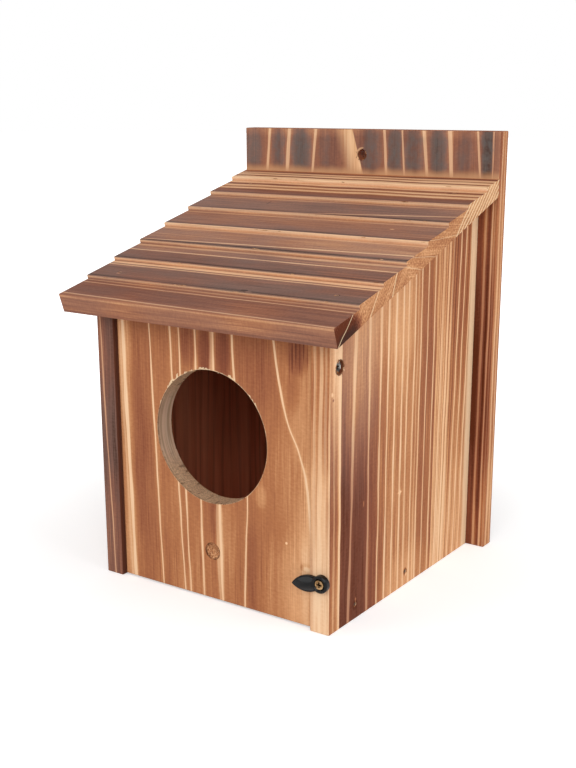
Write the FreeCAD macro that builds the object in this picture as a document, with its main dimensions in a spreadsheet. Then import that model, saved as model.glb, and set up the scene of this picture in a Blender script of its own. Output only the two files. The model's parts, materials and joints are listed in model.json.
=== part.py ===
# A wooden nest box: a wall board, two sides, a floor, a stepped roof and a front that swings.
# The front hangs on two screws near its top, and a leaf-shaped turn button keeps it shut.
# Millimetres. +Z is up, the front faces -Y, and the origin is the middle of the footprint, on the ground.
import FreeCAD, Part
import os
import re

import Sketcher

# The driving dimensions, in millimetres, or in degrees where the name ends in angle
SIZES = {
    # Sides, wall board and floor
    "box_width": 156,
    "side_thickness": 12,
    "side_depth": 160,
    "side_front_height": 161.8,
    "back_thickness": 10,
    "back_margin": 12,
    "back_rise": 36.8,
    "floor_thickness": 12,
    "floor_rise": 2.5,
    "floor_front_gap": 0.6,
    "edge_round": 0.6,
    "hanging_hole_radius": 3,
    "hanging_hole_drop": 15,
    "hanging_hole_left": 1.5,
    # Roof panel and its milled steps
    "roof_angle": 18.6,
    "roof_margin": 12,
    "roof_overhang": 13.2,
    "roof_thickness": 11,
    "slat_pitch": 24.2,
    "slat_step": 2.3,
    "slat_bevel": 0.4,
    # Swinging front
    "front_thickness": 12,
    "front_recess": 2.4,
    "front_side_gap": 1,
    "front_bottom_gap": 1,
    "front_head_gap": 1.8,
    "entrance_radius": 37.5,
    "entrance_drop": 65,
    "plug_radius": 5.1,
    "plug_sink": 0.4,
    "pivot_drop": 17,
    # Fits
    "fit_clearance": 0.05,
    "running_clearance": 0.08,
    # Screws that the front swings on
    "pivot_radius": 1.75,
    "pivot_length": 30,
    "pivot_head_radius": 3.1,
    "pivot_head_height": 1.8,
    "pivot_head_sink": 1.4,
    "pivot_head_room": 0.6,
    # Countersunk screws of the wall board
    "screw_radius": 1.75,
    "screw_length": 35,
    "screw_head_radius": 3.5,
    "screw_head_height": 2.2,
    "screw_sink": 0.2,
    "screw_low": 35,
    "screw_spacing": 105,
    # Brads of the floor and the roof
    "brad_radius": 0.8,
    "brad_length": 30,
    "brad_head_radius": 1.3,
    "brad_head_height": 0.8,
    "brad_sink": 0.4,
    "floor_brad_front": 26,
    "floor_brad_spacing": 55,
    "rear_brad_spacing": 80,
    "roof_brad_front": 32,
    "point_length": 3,
    # Turn button and its screw
    "button_height": 29,
    "button_outset": 1.7,
    "button_droop_angle": 11,
    "button_gap": 0.2,
    "button_eye_radius": 4.8,
    "button_eye_height": 3.2,
    "button_eye_bevel": 0.6,
    "button_tail": 2,
    "button_reach": 18.5,
    "button_half_width": 4.6,
    "button_border": 0.8,
    "button_rim": 1.3,
    "button_crown": 2.7,
    "button_pocket_flare": 0.5,
    "button_screw_radius": 1.25,
    "button_screw_length": 20,
    "button_screw_head_radius": 2.5,
    "button_screw_head_height": 1.5,
    "button_screw_head_room": 0.5,
    "button_screw_head_sink": 0.2,
    # Driver's cross in a screw head
    "cross_width": 0.9,
    "cross_length": 3.2,
    "cross_depth": 1.1,
}

# Places that several pieces share, as formulas on the sizes and on each other
PLACES = {
    "roof_tilt": "roof_angle * 1 deg",
    "roof_reach": "roof_overhang + (roof_thickness - slat_bevel) * sin(roof_tilt)",
    "side_front_y": "(roof_reach - side_depth - back_thickness) / 2",
    "side_face_x": "box_width / 2",
    "side_inner_x": "side_face_x - side_thickness",
    "side_middle_x": "side_face_x - side_thickness / 2",
    "side_rear_height": "side_front_height + side_depth * tan(roof_tilt)",
    "back_front_y": "side_front_y + side_depth",
    "back_rear_y": "back_front_y + back_thickness",
    "back_half_width": "side_face_x + back_margin",
    "back_height": "side_rear_height + back_rise",
    "front_face_y": "side_front_y + front_recess",
    "front_rear_y": "front_face_y + front_thickness",
    "front_half_width": "side_inner_x - front_side_gap",
    "front_top_z": "side_front_height - front_head_gap",
    "entrance_z": "front_top_z - entrance_drop",
    "plug_z": "(front_bottom_gap + entrance_z - entrance_radius) / 2",
    "pivot_y": "front_face_y + front_thickness / 2",
    "pivot_z": "front_top_z - pivot_drop",
    "floor_front_y": "front_rear_y + floor_front_gap",
    "floor_middle_z": "floor_rise + floor_thickness / 2",
    "roof_front_y": "side_front_y - roof_overhang",
    "roof_front_z": "side_front_height - roof_overhang * tan(roof_tilt)",
    "roof_length": "(side_depth + roof_overhang) / cos(roof_tilt)",
    "roof_full_width": "box_width + 2 * roof_margin",
    "slat_fall": "slat_step / (slat_pitch - slat_bevel)",
    "button_x": "side_middle_x + button_outset",
    "button_back_y": "side_front_y - button_gap",
    "button_head_top": "button_eye_height - button_screw_head_sink",
    "button_pocket_floor": "button_head_top - button_screw_head_height - running_clearance",
    "button_pocket_radius": "button_screw_head_radius + button_screw_head_room",
    "leaf_middle_x": "(button_tail - button_reach) / 2",
    "leaf_half_length": "(button_reach + button_tail) / 2",
    "dome_half_length": "leaf_half_length - button_border",
    "dome_half_width": "button_half_width - button_border",
    "dome_rise": "button_crown - button_rim",
}

# Turns, as an axis and an angle: a fastener's own +Z goes to the way its head faces
UPRIGHT = ((0, 0, 1), "0")
FACES_LEFT = ((0, -1, 0), "90")
FACES_RIGHT = ((0, 1, 0), "90")
FACES_FRONT = ((1, 0, 0), "90")
FACES_REAR = ((-1, 0, 0), "90")
ALONG_ROOF = ((1, 0, 0), "roof_angle")
BUTTON_SHUT = ((0, -1, 0), "button_droop_angle")

# The two sides, as the sign of X and the way a fastener's head faces there
SIDES = {"left": ("-1", FACES_LEFT), "right": ("1", FACES_RIGHT)}

# The share of the roof's steps that each of its two wider staves has
WIDE_STAVE_SHARE = 3 / 8

doc = FreeCAD.newDocument("nest_box")
sheet = doc.addObject("Spreadsheet::Sheet", "Sizes")
for row, (alias, size) in enumerate(SIZES.items(), start=1):
    sheet.set(f"A{row}", alias)
    sheet.set(f"B{row}", str(size))
    sheet.setAlias(f"B{row}", alias)
doc.recompute()


# Formulas and placing

def formula(text):
    """Spells a formula out for the document: sizes become their cells, places become formulas."""
    def spell(match):
        word = match.group()
        if word in SIZES:
            return f"Sizes.{word}"
        if word in PLACES:
            return f"({formula(PLACES[word])})"
        return word

    return re.sub("[a-z_]+", spell, text)


def measure(text):
    """The present value of a formula, for counts and for where a sketch starts."""
    value = sheet.evalExpression(formula(text))
    return float(getattr(value, "Value", value))


def seat(piece, turn, x="0", y="0", z="0"):
    """Ties a piece's turn and position to formulas."""
    axis, angle = turn
    rotation = FreeCAD.Rotation(FreeCAD.Vector(*axis), measure(angle))
    piece.Placement = FreeCAD.Placement(FreeCAD.Vector(), rotation)
    piece.setExpression(".Placement.Rotation.Angle", f"({formula(angle)}) * 1 deg")
    for name, text in zip("xyz", (x, y, z)):
        piece.setExpression(f".Placement.Base.{name}", f"({formula(text)}) * 1 mm")


# Sketches and solids

def new_sketch(body, plane):
    sketch = body.newObject("Sketcher::SketchObject", f"{body.Name}_sketch")
    support = next(feature for feature in body.Origin.OriginFeatures if feature.Role == plane)
    sketch.AttachmentSupport = (support, [""])
    sketch.MapMode = "FlatFace"
    return sketch


def pin_corner(sketch, edge, x, y):
    """Ties the start of an edge to two formulas, or to an axis where the formula is zero."""
    for kind, text, axis_line in (("DistanceX", x, -2), ("DistanceY", y, -1)):
        if text == "0":
            sketch.addConstraint(Sketcher.Constraint("PointOnObject", edge, 1, axis_line))
            continue
        distance = Sketcher.Constraint(kind, -1, 1, edge, 1, measure(text))
        index = sketch.addConstraint(distance)
        sketch.setExpression(f"Constraints[{index}]", f"({formula(text)}) * 1 mm")


def draw_outline(sketch, corners):
    """Draws a closed outline of straight edges through corners given as formulas."""
    points = [FreeCAD.Vector(measure(x), measure(y), 0) for x, y in corners]
    edges = []
    for start, end in zip(points, points[1:] + points[:1]):
        edges.append(sketch.addGeometry(Part.LineSegment(start, end)))
    for edge, following in zip(edges, edges[1:] + edges[:1]):
        sketch.addConstraint(Sketcher.Constraint("Coincident", edge, 2, following, 1))
    for edge, (x, y) in zip(edges, corners):
        pin_corner(sketch, edge, x, y)


def board(label, plane, corners, thickness, rounded=True):
    """A board: an outline on one of its own planes, half its thickness to each side."""
    body = doc.addObject("PartDesign::Body", label)
    sketch = new_sketch(body, plane)
    draw_outline(sketch, corners)
    pad = body.newObject("PartDesign::Pad", f"{label}_pad")
    pad.Profile = sketch
    pad.SideType = "Symmetric"
    pad.setExpression("Length", f"({formula(thickness)}) * 1 mm")
    doc.recompute()
    if rounded:
        fillet = body.newObject("PartDesign::Fillet", f"{label}_edges")
        fillet.Base = (pad, [""])
        fillet.UseAllEdges = True
        fillet.setExpression("Radius", f"{formula('edge_round')} * 1 mm")
        doc.recompute()
    return body


def rectangle(x_low, x_high, y_low, y_high):
    return [(x_low, y_low), (x_high, y_low), (x_high, y_high), (x_low, y_high)]


def turned(label, stations, turn=UPRIGHT, **where):
    """A round solid: stations of radius and height, from its top to its foot, about its own Z."""
    body = doc.addObject("PartDesign::Body", label)
    sketch = new_sketch(body, "XZ_Plane")
    corners = [("0", stations[0][1])] + stations
    if stations[-1][0] != "0":
        corners.append(("0", stations[-1][1]))
    draw_outline(sketch, corners)
    revolution = body.newObject("PartDesign::Revolution", f"{label}_turning")
    revolution.Profile = sketch
    revolution.ReferenceAxis = (sketch, ["V_Axis"])
    revolution.Angle = 360
    seat(body, turn, **where)
    return body


def bore(label, radius, depth, turn, **where):
    """A plain round hole, as the solid that it takes away."""
    return turned(label, [(radius, "0"), (radius, f"-({depth})")], turn, **where)


def primitive(kind, label, turn, sizes, **where):
    solid = doc.addObject(f"Part::{kind}", label)
    for name, text in sizes.items():
        solid.setExpression(name, f"({formula(text)}) * 1 mm")
    seat(solid, turn, **where)
    return solid


def group(label, members):
    compound = doc.addObject("Part::Compound", label)
    compound.Links = members
    return compound


def cut(label, blank, tools):
    """A blank less the tools."""
    result = doc.addObject("Part::Cut", label)
    result.Base = blank
    result.Tool = group(f"{label}_tools", tools)
    return result


# Fasteners, their heads at the top and their shanks going down, and the holes that take them

def brad(label, **where):
    stations = [
        ("brad_head_radius", "0"),
        ("brad_head_radius", "-brad_head_height"),
        ("brad_radius", "-brad_head_height"),
        ("brad_radius", "point_length - brad_length"),
        ("0", "-brad_length"),
    ]
    return turned(label, stations, **where)


def brad_hole(label, **where):
    stations = [
        ("brad_head_radius + fit_clearance", "brad_sink"),
        ("brad_head_radius + fit_clearance", "-brad_head_height"),
        ("brad_radius + fit_clearance", "-brad_head_height"),
        ("brad_radius + fit_clearance", "-brad_length"),
    ]
    return turned(label, stations, **where)


def countersunk_screw(label, **where):
    stations = [
        ("screw_head_radius", "0"),
        ("screw_radius", "-screw_head_height"),
        ("screw_radius", "point_length - screw_length"),
        ("0", "-screw_length"),
    ]
    return turned(label, stations, **where)


def countersunk_hole(label, **where):
    stations = [
        ("screw_head_radius + fit_clearance", "screw_sink"),
        ("screw_head_radius + fit_clearance", "0"),
        ("screw_radius + fit_clearance", "-screw_head_height"),
        ("screw_radius + fit_clearance", "-screw_length"),
    ]
    return turned(label, stations, **where)


def cross_head_screw(label, kind, turn, **where):
    """A screw with a flat round head and a driver's cross, whose sizes' names start with its kind."""
    stations = [
        (f"{kind}_head_radius", "0"),
        (f"{kind}_head_radius", f"-{kind}_head_height"),
        (f"{kind}_radius", f"-{kind}_head_height"),
        (f"{kind}_radius", f"point_length - {kind}_length"),
        ("0", f"-{kind}_length"),
    ]
    blank = turned(f"{label}_blank", stations)
    bars = []
    for length, width in (("cross_length", "cross_width"), ("cross_width", "cross_length")):
        sizes = {"Length": length, "Width": width, "Height": "cross_depth"}
        at = {"x": f"-{length} / 2", "y": f"-{width} / 2", "z": "-cross_depth"}
        bars.append(primitive("Box", f"{label}_{length}", UPRIGHT, sizes, **at))
    screw = cut(label, blank, bars)
    seat(screw, turn, **where)
    return screw


# How the roof's steps are shared among its three staves, from the front edge up

slat_count = int(measure("roof_length / slat_pitch")) + 1
wide_stave = max(1, round(slat_count * WIDE_STAVE_SHARE))
stave_slats = {
    "front": range(wide_stave),
    "middle": range(wide_stave, 2 * wide_stave),
    "rear": range(2 * wide_stave, slat_count),
}


def slat_start(slat):
    return f"{slat} * slat_pitch" if slat else "0"


def slat_top(slat, along):
    """The height of one slat's top above the roof's underside, at a place along the slope."""
    return f"(roof_thickness - (({along}) - {slat} * slat_pitch - slat_bevel) * slat_fall)"


# Where the fasteners go

def floor_brad_places(side):
    sign, facing = SIDES[side]
    for y in ("floor_brad_front", "floor_brad_front + floor_brad_spacing"):
        yield {
            "turn": facing,
            "x": f"{sign} * (side_face_x - brad_sink)",
            "y": f"side_front_y + {y}",
            "z": "floor_middle_z",
        }


def rear_brad_places():
    for sign, _ in SIDES.values():
        yield {
            "turn": FACES_REAR,
            "x": f"{sign} * rear_brad_spacing / 2",
            "y": "back_rear_y - brad_sink",
            "z": "floor_middle_z",
        }


def back_screw_places(side):
    sign, _ = SIDES[side]
    for z in ("screw_low", "screw_low + screw_spacing"):
        yield {
            "turn": FACES_REAR,
            "x": f"{sign} * side_middle_x",
            "y": "back_rear_y - screw_sink",
            "z": z,
        }


def roof_brad_places(side):
    sign, _ = SIDES[side]
    rear_stave_middle = f"(({slat_start(stave_slats['rear'][0])} + roof_length) / 2)"
    for along in ("roof_brad_front", rear_stave_middle):
        slat = int(measure(f"{along} / slat_pitch"))
        head = f"({slat_top(slat, along)} - brad_sink)"
        yield {
            "turn": ALONG_ROOF,
            "x": f"{sign} * side_middle_x",
            "y": f"roof_front_y + {along} * cos(roof_tilt) - {head} * sin(roof_tilt)",
            "z": f"roof_front_z + {along} * sin(roof_tilt) + {head} * cos(roof_tilt)",
        }


parts = []
holes = {}


def drive(label, fastener, hole, places):
    """Makes a group of like fasteners, and keeps the holes that they need under the group's name."""
    places = list(places)
    members = [fastener(f"{label}_{number}", **at) for number, at in enumerate(places, start=1)]
    holes[label] = [hole(f"{label}_hole_{number}", **at) for number, at in enumerate(places, start=1)]
    parts.append(group(label, members))


for side in SIDES:
    drive(f"{side}_floor_brads", brad, brad_hole, floor_brad_places(side))
    drive(f"{side}_roof_brads", brad, brad_hole, roof_brad_places(side))
    drive(f"{side}_back_screws", countersunk_screw, countersunk_hole, back_screw_places(side))
drive("rear_floor_brads", brad, brad_hole, rear_brad_places())

# The two screws that the front swings on: tight in the front, free in the sides, heads in pockets

pivot_stations = [
    ("pivot_head_radius + pivot_head_room", "pivot_head_sink"),
    ("pivot_head_radius + pivot_head_room", "-pivot_head_height - running_clearance"),
    ("pivot_radius + running_clearance", "-pivot_head_height - running_clearance"),
    ("pivot_radius + running_clearance", "-pivot_length"),
]
pivot_pilots = []
for side, (sign, facing) in SIDES.items():
    at = {"turn": facing, "x": f"{sign} * (side_face_x - pivot_head_sink)", "y": "pivot_y", "z": "pivot_z"}
    parts.append(cross_head_screw(f"{side}_pivot_screw", "pivot", **at))
    holes[f"{side}_pivot_screw"] = [turned(f"{side}_pivot_hole", pivot_stations, **at)]
    pivot_pilots.append(bore(f"{side}_pivot_pilot", "pivot_radius + fit_clearance", "pivot_length", **at))

# The turn button's screw, sunk in the button's eye and tight in the right side's front edge

button_at = {
    "turn": FACES_FRONT,
    "x": "button_x",
    "y": "button_back_y - button_head_top",
    "z": "button_height",
}
parts.append(cross_head_screw("turn_button_screw", "button_screw", **button_at))
button_pilot = bore(
    "button_screw_pilot", "button_screw_radius + fit_clearance", "button_screw_length", **button_at
)

# The sides, whose tops follow the roof

side_corners = [
    ("0", "0"),
    ("side_depth", "0"),
    ("side_depth", "side_rear_height"),
    ("0", "side_front_height"),
]
for side, (sign, _) in SIDES.items():
    blank = board(f"{side}_side_blank", "YZ_Plane", side_corners, "side_thickness")
    seat(blank, UPRIGHT, x=f"{sign} * side_middle_x", y="side_front_y")
    tools = [button_pilot] if side == "right" else []
    for fastener in ("floor_brads", "roof_brads", "back_screws", "pivot_screw"):
        tools += holes[f"{side}_{fastener}"]
    parts.append(cut(f"{side}_side", blank, tools))

# The wall board, with its hanging hole above the roof

back_corners = rectangle("-back_half_width", "back_half_width", "0", "back_height")
back_blank = board("back_board_blank", "XZ_Plane", back_corners, "back_thickness")
seat(back_blank, UPRIGHT, y="back_front_y + back_thickness / 2")
hanging_hole = bore(
    "hanging_hole",
    "hanging_hole_radius",
    "back_thickness",
    FACES_REAR,
    x="-hanging_hole_left",
    y="back_rear_y",
    z="back_height - hanging_hole_drop",
)
back_tools = [hanging_hole] + holes["left_back_screws"] + holes["right_back_screws"]
parts.append(cut("back_board", back_blank, back_tools + holes["rear_floor_brads"]))

# The floor, between the sides and behind the front

floor_corners = rectangle("-side_inner_x", "side_inner_x", "floor_front_y", "back_front_y")
floor_blank = board("floor_blank", "XY_Plane", floor_corners, "floor_thickness", rounded=False)
seat(floor_blank, UPRIGHT, z="floor_middle_z")
floor_tools = holes["left_floor_brads"] + holes["right_floor_brads"] + holes["rear_floor_brads"]
parts.append(cut("floor", floor_blank, floor_tools))

# The front, with its entrance and, half way below that, a plugged perch hole

front_corners = rectangle("-front_half_width", "front_half_width", "front_bottom_gap", "front_top_z")
front_blank = board("front_door_blank", "XZ_Plane", front_corners, "front_thickness")
seat(front_blank, UPRIGHT, y="pivot_y")
through_front = {"depth": "front_thickness", "turn": FACES_FRONT, "y": "front_face_y"}
entrance = bore("entrance", "entrance_radius", z="entrance_z", **through_front)
perch_hole = bore("perch_hole", "plug_radius + fit_clearance", z="plug_z", **through_front)
parts.append(cut("front_door", front_blank, [entrance, perch_hole] + pivot_pilots))

plug_stations = [("plug_radius", "-plug_sink"), ("plug_radius", "-front_thickness")]
parts.append(turned("perch_hole_plug", plug_stations, FACES_FRONT, y="front_face_y", z="plug_z"))

# The roof: three staves edge to edge, milled to a row of steps, the last one upright at the wall board

def stave_corners(slats):
    """A stave's outline along the slope: its underside's front, its steps, and its rear end."""
    corners = [(slat_start(slats[0]), "0")]
    for slat in slats:
        corners.append((slat_start(slat), "roof_thickness - slat_bevel"))
        corners.append((f"{slat} * slat_pitch + slat_bevel", "roof_thickness"))
        if slat + 1 < slat_count:
            corners.append((slat_start(slat + 1), "roof_thickness - slat_step"))
    if slats[-1] + 1 < slat_count:
        return corners + [(slat_start(slats[-1] + 1), "0")]
    top_at_foot = slat_top(slats[-1], "roof_length")
    end_height = f"({top_at_foot} / (1 + slat_fall * tan(roof_tilt)))"
    return corners + [(f"roof_length + {end_height} * tan(roof_tilt)", end_height), ("roof_length", "0")]


roof_holes = holes["left_roof_brads"] + holes["right_roof_brads"]
for stave, slats in stave_slats.items():
    blank = board(f"roof_{stave}_blank", "YZ_Plane", stave_corners(slats), "roof_full_width", rounded=False)
    seat(blank, ALONG_ROOF, y="roof_front_y", z="roof_front_z")
    parts.append(cut(f"roof_{stave}_stave", blank, roof_holes))

# The turn button: a leaf with a flat border and a domed middle, on a round eye

def arc_radius(half_chord, rise):
    return f"((({half_chord}) ^ 2 + ({rise}) ^ 2) / (2 * ({rise})))"


def lens(label, half_length, half_width, height, crowning=()):
    """A pointed leaf between two round flanks, crowned where further solids are given."""
    radius = arc_radius(half_length, half_width)
    flanks = [
        primitive(
            "Cylinder",
            f"{label}_{name}_flank",
            FACES_FRONT,
            {"Radius": radius, "Height": height},
            x="leaf_middle_x",
            z=f"{sign} * ({radius} - {half_width})",
        )
        for name, sign in (("upper", "-1"), ("lower", "1"))
    ]
    leaf = doc.addObject("Part::MultiCommon", label)
    leaf.Shapes = flanks + list(crowning)
    return leaf


crown_radius = arc_radius("dome_half_width", "dome_rise")
fall_radius = arc_radius("dome_half_length", "dome_rise")
crown = primitive(
    "Cylinder",
    "leaf_crown",
    FACES_RIGHT,
    {"Radius": crown_radius, "Height": "2 * leaf_half_length"},
    x="leaf_middle_x - leaf_half_length",
    y=f"{crown_radius} - button_crown",
)
fall = primitive(
    "Sphere",
    "leaf_fall",
    UPRIGHT,
    {"Radius": fall_radius},
    x="leaf_middle_x",
    y=f"{fall_radius} - button_crown",
)
border = lens("leaf_border", "leaf_half_length", "button_half_width", "button_rim")
dome = lens("leaf_dome", "dome_half_length", "dome_half_width", "button_crown", [crown, fall])

eye_stations = [
    ("button_eye_radius - button_eye_bevel", "button_eye_height"),
    ("button_eye_radius", "button_eye_height - button_eye_bevel"),
    ("button_eye_radius", "0"),
]
hole_stations = [
    ("button_pocket_radius + button_pocket_flare", "button_eye_height"),
    ("button_pocket_radius", "button_eye_height - button_pocket_flare"),
    ("button_pocket_radius", "button_pocket_floor"),
    ("button_screw_radius + running_clearance", "button_pocket_floor"),
    ("button_screw_radius + running_clearance", "0"),
]
button_blank = doc.addObject("Part::MultiFuse", "turn_button_blank")
button_blank.Shapes = [border, dome, turned("button_eye", eye_stations, FACES_FRONT)]
button = cut("turn_button", button_blank, [turned("button_hole", hole_stations, FACES_FRONT)])
seat(button, BUTTON_SHUT, x="button_x", y="button_back_y", z="button_height")
parts.append(button)

# Each object and each sub-part is looked at before anything is written

doc.recompute()
failed = [item.Label for item in doc.Objects if {"Invalid", "Error"} & set(item.State)]
failed += [piece.Label for piece in parts if piece.Shape.isNull() or not piece.Shape.isValid()]
if failed:
    raise RuntimeError(f"these objects failed: {failed}")

os.makedirs("parts", exist_ok=True)
for piece in parts:
    piece.Shape.exportStep(f"parts/{piece.Label}.step")
    print(f"{piece.Label}: {len(piece.Shape.Solids)} solids, {piece.Shape.Volume:.1f} mm3")
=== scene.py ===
import inspect
import json
import math

import bpy
from mathutils import Matrix, Vector


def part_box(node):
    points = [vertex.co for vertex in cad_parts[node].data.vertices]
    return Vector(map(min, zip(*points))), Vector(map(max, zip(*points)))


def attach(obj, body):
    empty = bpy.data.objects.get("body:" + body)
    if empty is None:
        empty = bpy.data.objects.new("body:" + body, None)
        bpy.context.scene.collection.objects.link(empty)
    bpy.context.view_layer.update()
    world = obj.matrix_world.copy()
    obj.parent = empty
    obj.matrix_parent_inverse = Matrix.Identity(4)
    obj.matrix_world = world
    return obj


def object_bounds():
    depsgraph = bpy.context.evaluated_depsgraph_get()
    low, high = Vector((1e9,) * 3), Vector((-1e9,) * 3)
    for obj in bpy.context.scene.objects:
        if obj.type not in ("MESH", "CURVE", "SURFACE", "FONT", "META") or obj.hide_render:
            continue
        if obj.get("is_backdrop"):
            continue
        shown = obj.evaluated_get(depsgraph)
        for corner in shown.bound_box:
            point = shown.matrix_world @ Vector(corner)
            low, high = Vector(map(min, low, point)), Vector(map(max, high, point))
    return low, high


# A nest box of flame-charred, brushed softwood. Lengths in the lists below are millimetres.
# Sides are measured from their front edge, the roof up its slope from its front edge.
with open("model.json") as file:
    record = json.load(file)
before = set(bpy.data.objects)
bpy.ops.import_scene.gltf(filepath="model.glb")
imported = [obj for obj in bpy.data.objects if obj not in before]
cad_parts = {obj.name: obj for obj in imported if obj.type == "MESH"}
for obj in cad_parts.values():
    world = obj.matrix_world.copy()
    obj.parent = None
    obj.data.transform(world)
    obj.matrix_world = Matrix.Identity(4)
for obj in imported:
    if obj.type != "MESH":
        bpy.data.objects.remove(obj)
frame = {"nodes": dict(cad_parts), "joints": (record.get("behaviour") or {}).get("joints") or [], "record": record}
cad_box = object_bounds()

MM = 0.001


# Places on the solids

def in_mm(corner, digits=2):
    return [round(value / MM, digits) for value in corner]


def node_box(node):
    """A node's lowest and highest corners."""
    return [in_mm(corner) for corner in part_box(node)]


def named(rows, name):
    return next(row for row in rows if row["name"] == name)


(SIDE_INNER_X, SIDE_FRONT_Y, _), (SIDE_FACE_X, _, _) = node_box("right_side")
(_, DOOR_FACE_Y, _), (_, DOOR_REAR_Y, _) = node_box("front_door")
(_, BACK_FACE_Y, _), (_, BACK_REAR_Y, _) = node_box("back_board")
(_, PLUG_FACE_Y, PLUG_FOOT_Z), (PLUG_RADIUS, _, PLUG_HEAD_Z) = node_box("perch_hole_plug")
PLUG_Z = (PLUG_FOOT_Z + PLUG_HEAD_Z) / 2
ENTRANCE_RADIUS, ENTRANCE_Z = 37.5, 95.0
_, PIVOT_Y, PIVOT_Z = in_mm(named(frame["joints"], "front_swing")["pos_m"])
PIVOT_HEAD_X = node_box("right_pivot_screw")[1][0]
PIVOT_POCKET = 3.7
BUTTON_X, _, BUTTON_Z = in_mm(named(frame["joints"], "button_turn")["pos_m"])
BUTTON_SCREW_Y = node_box("turn_button_screw")[0][1]
HANGING_HOLE = named(frame["record"]["mounts"], "hanging_hole")
HANGING_X, _, HANGING_Z = in_mm(HANGING_HOLE["pos_m"])
HANGING_RADIUS = HANGING_HOLE["dims"]["r_mm"]
FLOOR_BRADS = [(26.0, 8.5), (81.0, 8.5)]
FLOOR_BRAD_RADIUS = 1.5
ROOF_TILT = math.radians(18.6)
ROOF_COS, ROOF_SIN = math.cos(ROOF_TILT), math.sin(ROOF_TILT)
ROOF_OVERHANG = 13.2
ROOF_FRONT_Y = SIDE_FRONT_Y - ROOF_OVERHANG
ROOF_FRONT_Z = in_mm(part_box("roof_front_stave")[0], 3)[2]
ROOF_THICKNESS = 11.0
ROOF_HALF_WIDTH = node_box("roof_front_stave")[1][0]
SLAT_PITCH, SLATS, STAVE_SLATS = 24.2, 8, 3


# Node building

def tone(code):
    """A colour written as a hex code, in the linear values that a shader takes."""
    parts = [int(code[i:i + 2], 16) / 255 for i in (0, 2, 4)]
    return [c / 12.92 if c <= 0.04045 else ((c + 0.055) / 1.055) ** 2.4 for c in parts] + [1.0]


def socket_name(label):
    return label.replace("_", " ").capitalize()


class Wiring:
    """Lays the nodes of one tree. A value may be a plain number or another node's output."""

    def __init__(self, tree):
        self.tree = tree

    def feed(self, socket, value):
        if isinstance(value, bpy.types.NodeSocket):
            self.tree.links.new(value, socket)
        else:
            socket.default_value = value

    def node(self, kind, feeds=None, **settings):
        """Makes a node and feeds its inputs, by their names or numbers."""
        node = self.tree.nodes.new(kind)
        for name, value in settings.items():
            setattr(node, name, value)
        for name_or_number, value in (feeds or {}).items():
            self.feed(node.inputs[name_or_number], value)
        return node

    def calc(self, operation, *values):
        return self.node("ShaderNodeMath", dict(enumerate(values)), operation=operation).outputs[0]

    def total(self, first, *rest):
        for value in rest:
            first = self.calc("ADD", first, value)
        return first

    def product(self, first, *rest):
        for value in rest:
            first = self.calc("MULTIPLY", first, value)
        return first

    def minus(self, first, second):
        return self.calc("SUBTRACT", first, second)

    def ratio(self, first, second):
        return self.calc("DIVIDE", first, second)

    def absolute(self, value):
        return self.calc("ABSOLUTE", value)

    def swing(self, value, amount):
        """Turns a noise around one half into a change of either sign."""
        return self.product(self.minus(value, 0.5), amount)

    def distance(self, first, second):
        return self.calc("SQRT", self.calc("MULTIPLY_ADD", first, first, self.product(second, second)))

    def from_point(self, first, second, point):
        """How far a place is from a point in its plane."""
        return self.distance(self.minus(first, point[0]), self.minus(second, point[1]))

    def fade(self, value, start, end, low=0.0, high=1.0):
        """Goes smoothly from low, where the value is at start, to high, where it is at end."""
        feeds = {"Value": value, "From Min": start, "From Max": end, "To Min": low, "To Max": high}
        return self.node("ShaderNodeMapRange", feeds, interpolation_type="SMOOTHSTEP").outputs[0]

    def mix(self, share, first, second):
        return self.node("ShaderNodeMix", {0: share, 6: first, 7: second}, data_type="RGBA").outputs[2]

    def blend(self, share, first, second):
        """Mixes plain values."""
        return self.node("ShaderNodeMix", {0: share, 2: first, 3: second}, data_type="FLOAT").outputs[0]

    def ramp(self, value, stops):
        node = self.node("ShaderNodeValToRGB", {"Fac": value})
        elements = node.color_ramp.elements
        while len(elements) < len(stops):
            elements.new(1.0)
        for element, (place, code) in zip(elements, stops):
            element.position = place
            element.color = tone(code)
        return node.outputs[0]

    def curve(self, value, points):
        """A smooth curve through points of (value, result), both within 0 to 1."""
        node = self.node("ShaderNodeFloatCurve", {"Value": value})
        line = node.mapping.curves[0]
        while len(line.points) < len(points):
            line.points.new(0.5, 0.5)
        for point, place in zip(line.points, points):
            point.location = place
        node.mapping.update()
        return node.outputs[0]

    def noise(self, across, along, across_scale, along_scale, seed, detail=2.0, third=0.0):
        place = self.node("ShaderNodeCombineXYZ", {"X": across, "Y": along, "Z": third}).outputs[0]
        feeds = {0: place, 1: (across_scale, along_scale, across_scale), 2: (seed * 7.3, seed * 3.1, seed)}
        stretch = self.node("ShaderNodeVectorMath", feeds, operation="MULTIPLY_ADD")
        feeds = {"Vector": stretch.outputs[0], "Scale": 1.0, "Detail": detail}
        return self.node("ShaderNodeTexNoise", feeds).outputs[0]

    def use(self, group, *values, **feeds):
        """Places a shader group, fed in the order of its inputs or by name, and gives its outputs."""
        all_feeds = dict(enumerate(values)) | {socket_name(label): value for label, value in feeds.items()}
        return list(self.node("ShaderNodeGroup", all_feeds, node_tree=group).outputs)


def fresh_wiring(owner):
    """Empties the node tree of a material or world."""
    owner.use_nodes = True
    owner.node_tree.nodes.clear()
    return Wiring(owner.node_tree)


def add_sockets(tree, in_out, rows):
    for label, kind in rows:
        tree.interface.new_socket(label, in_out=in_out, socket_type=f"NodeSocket{kind}")


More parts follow.
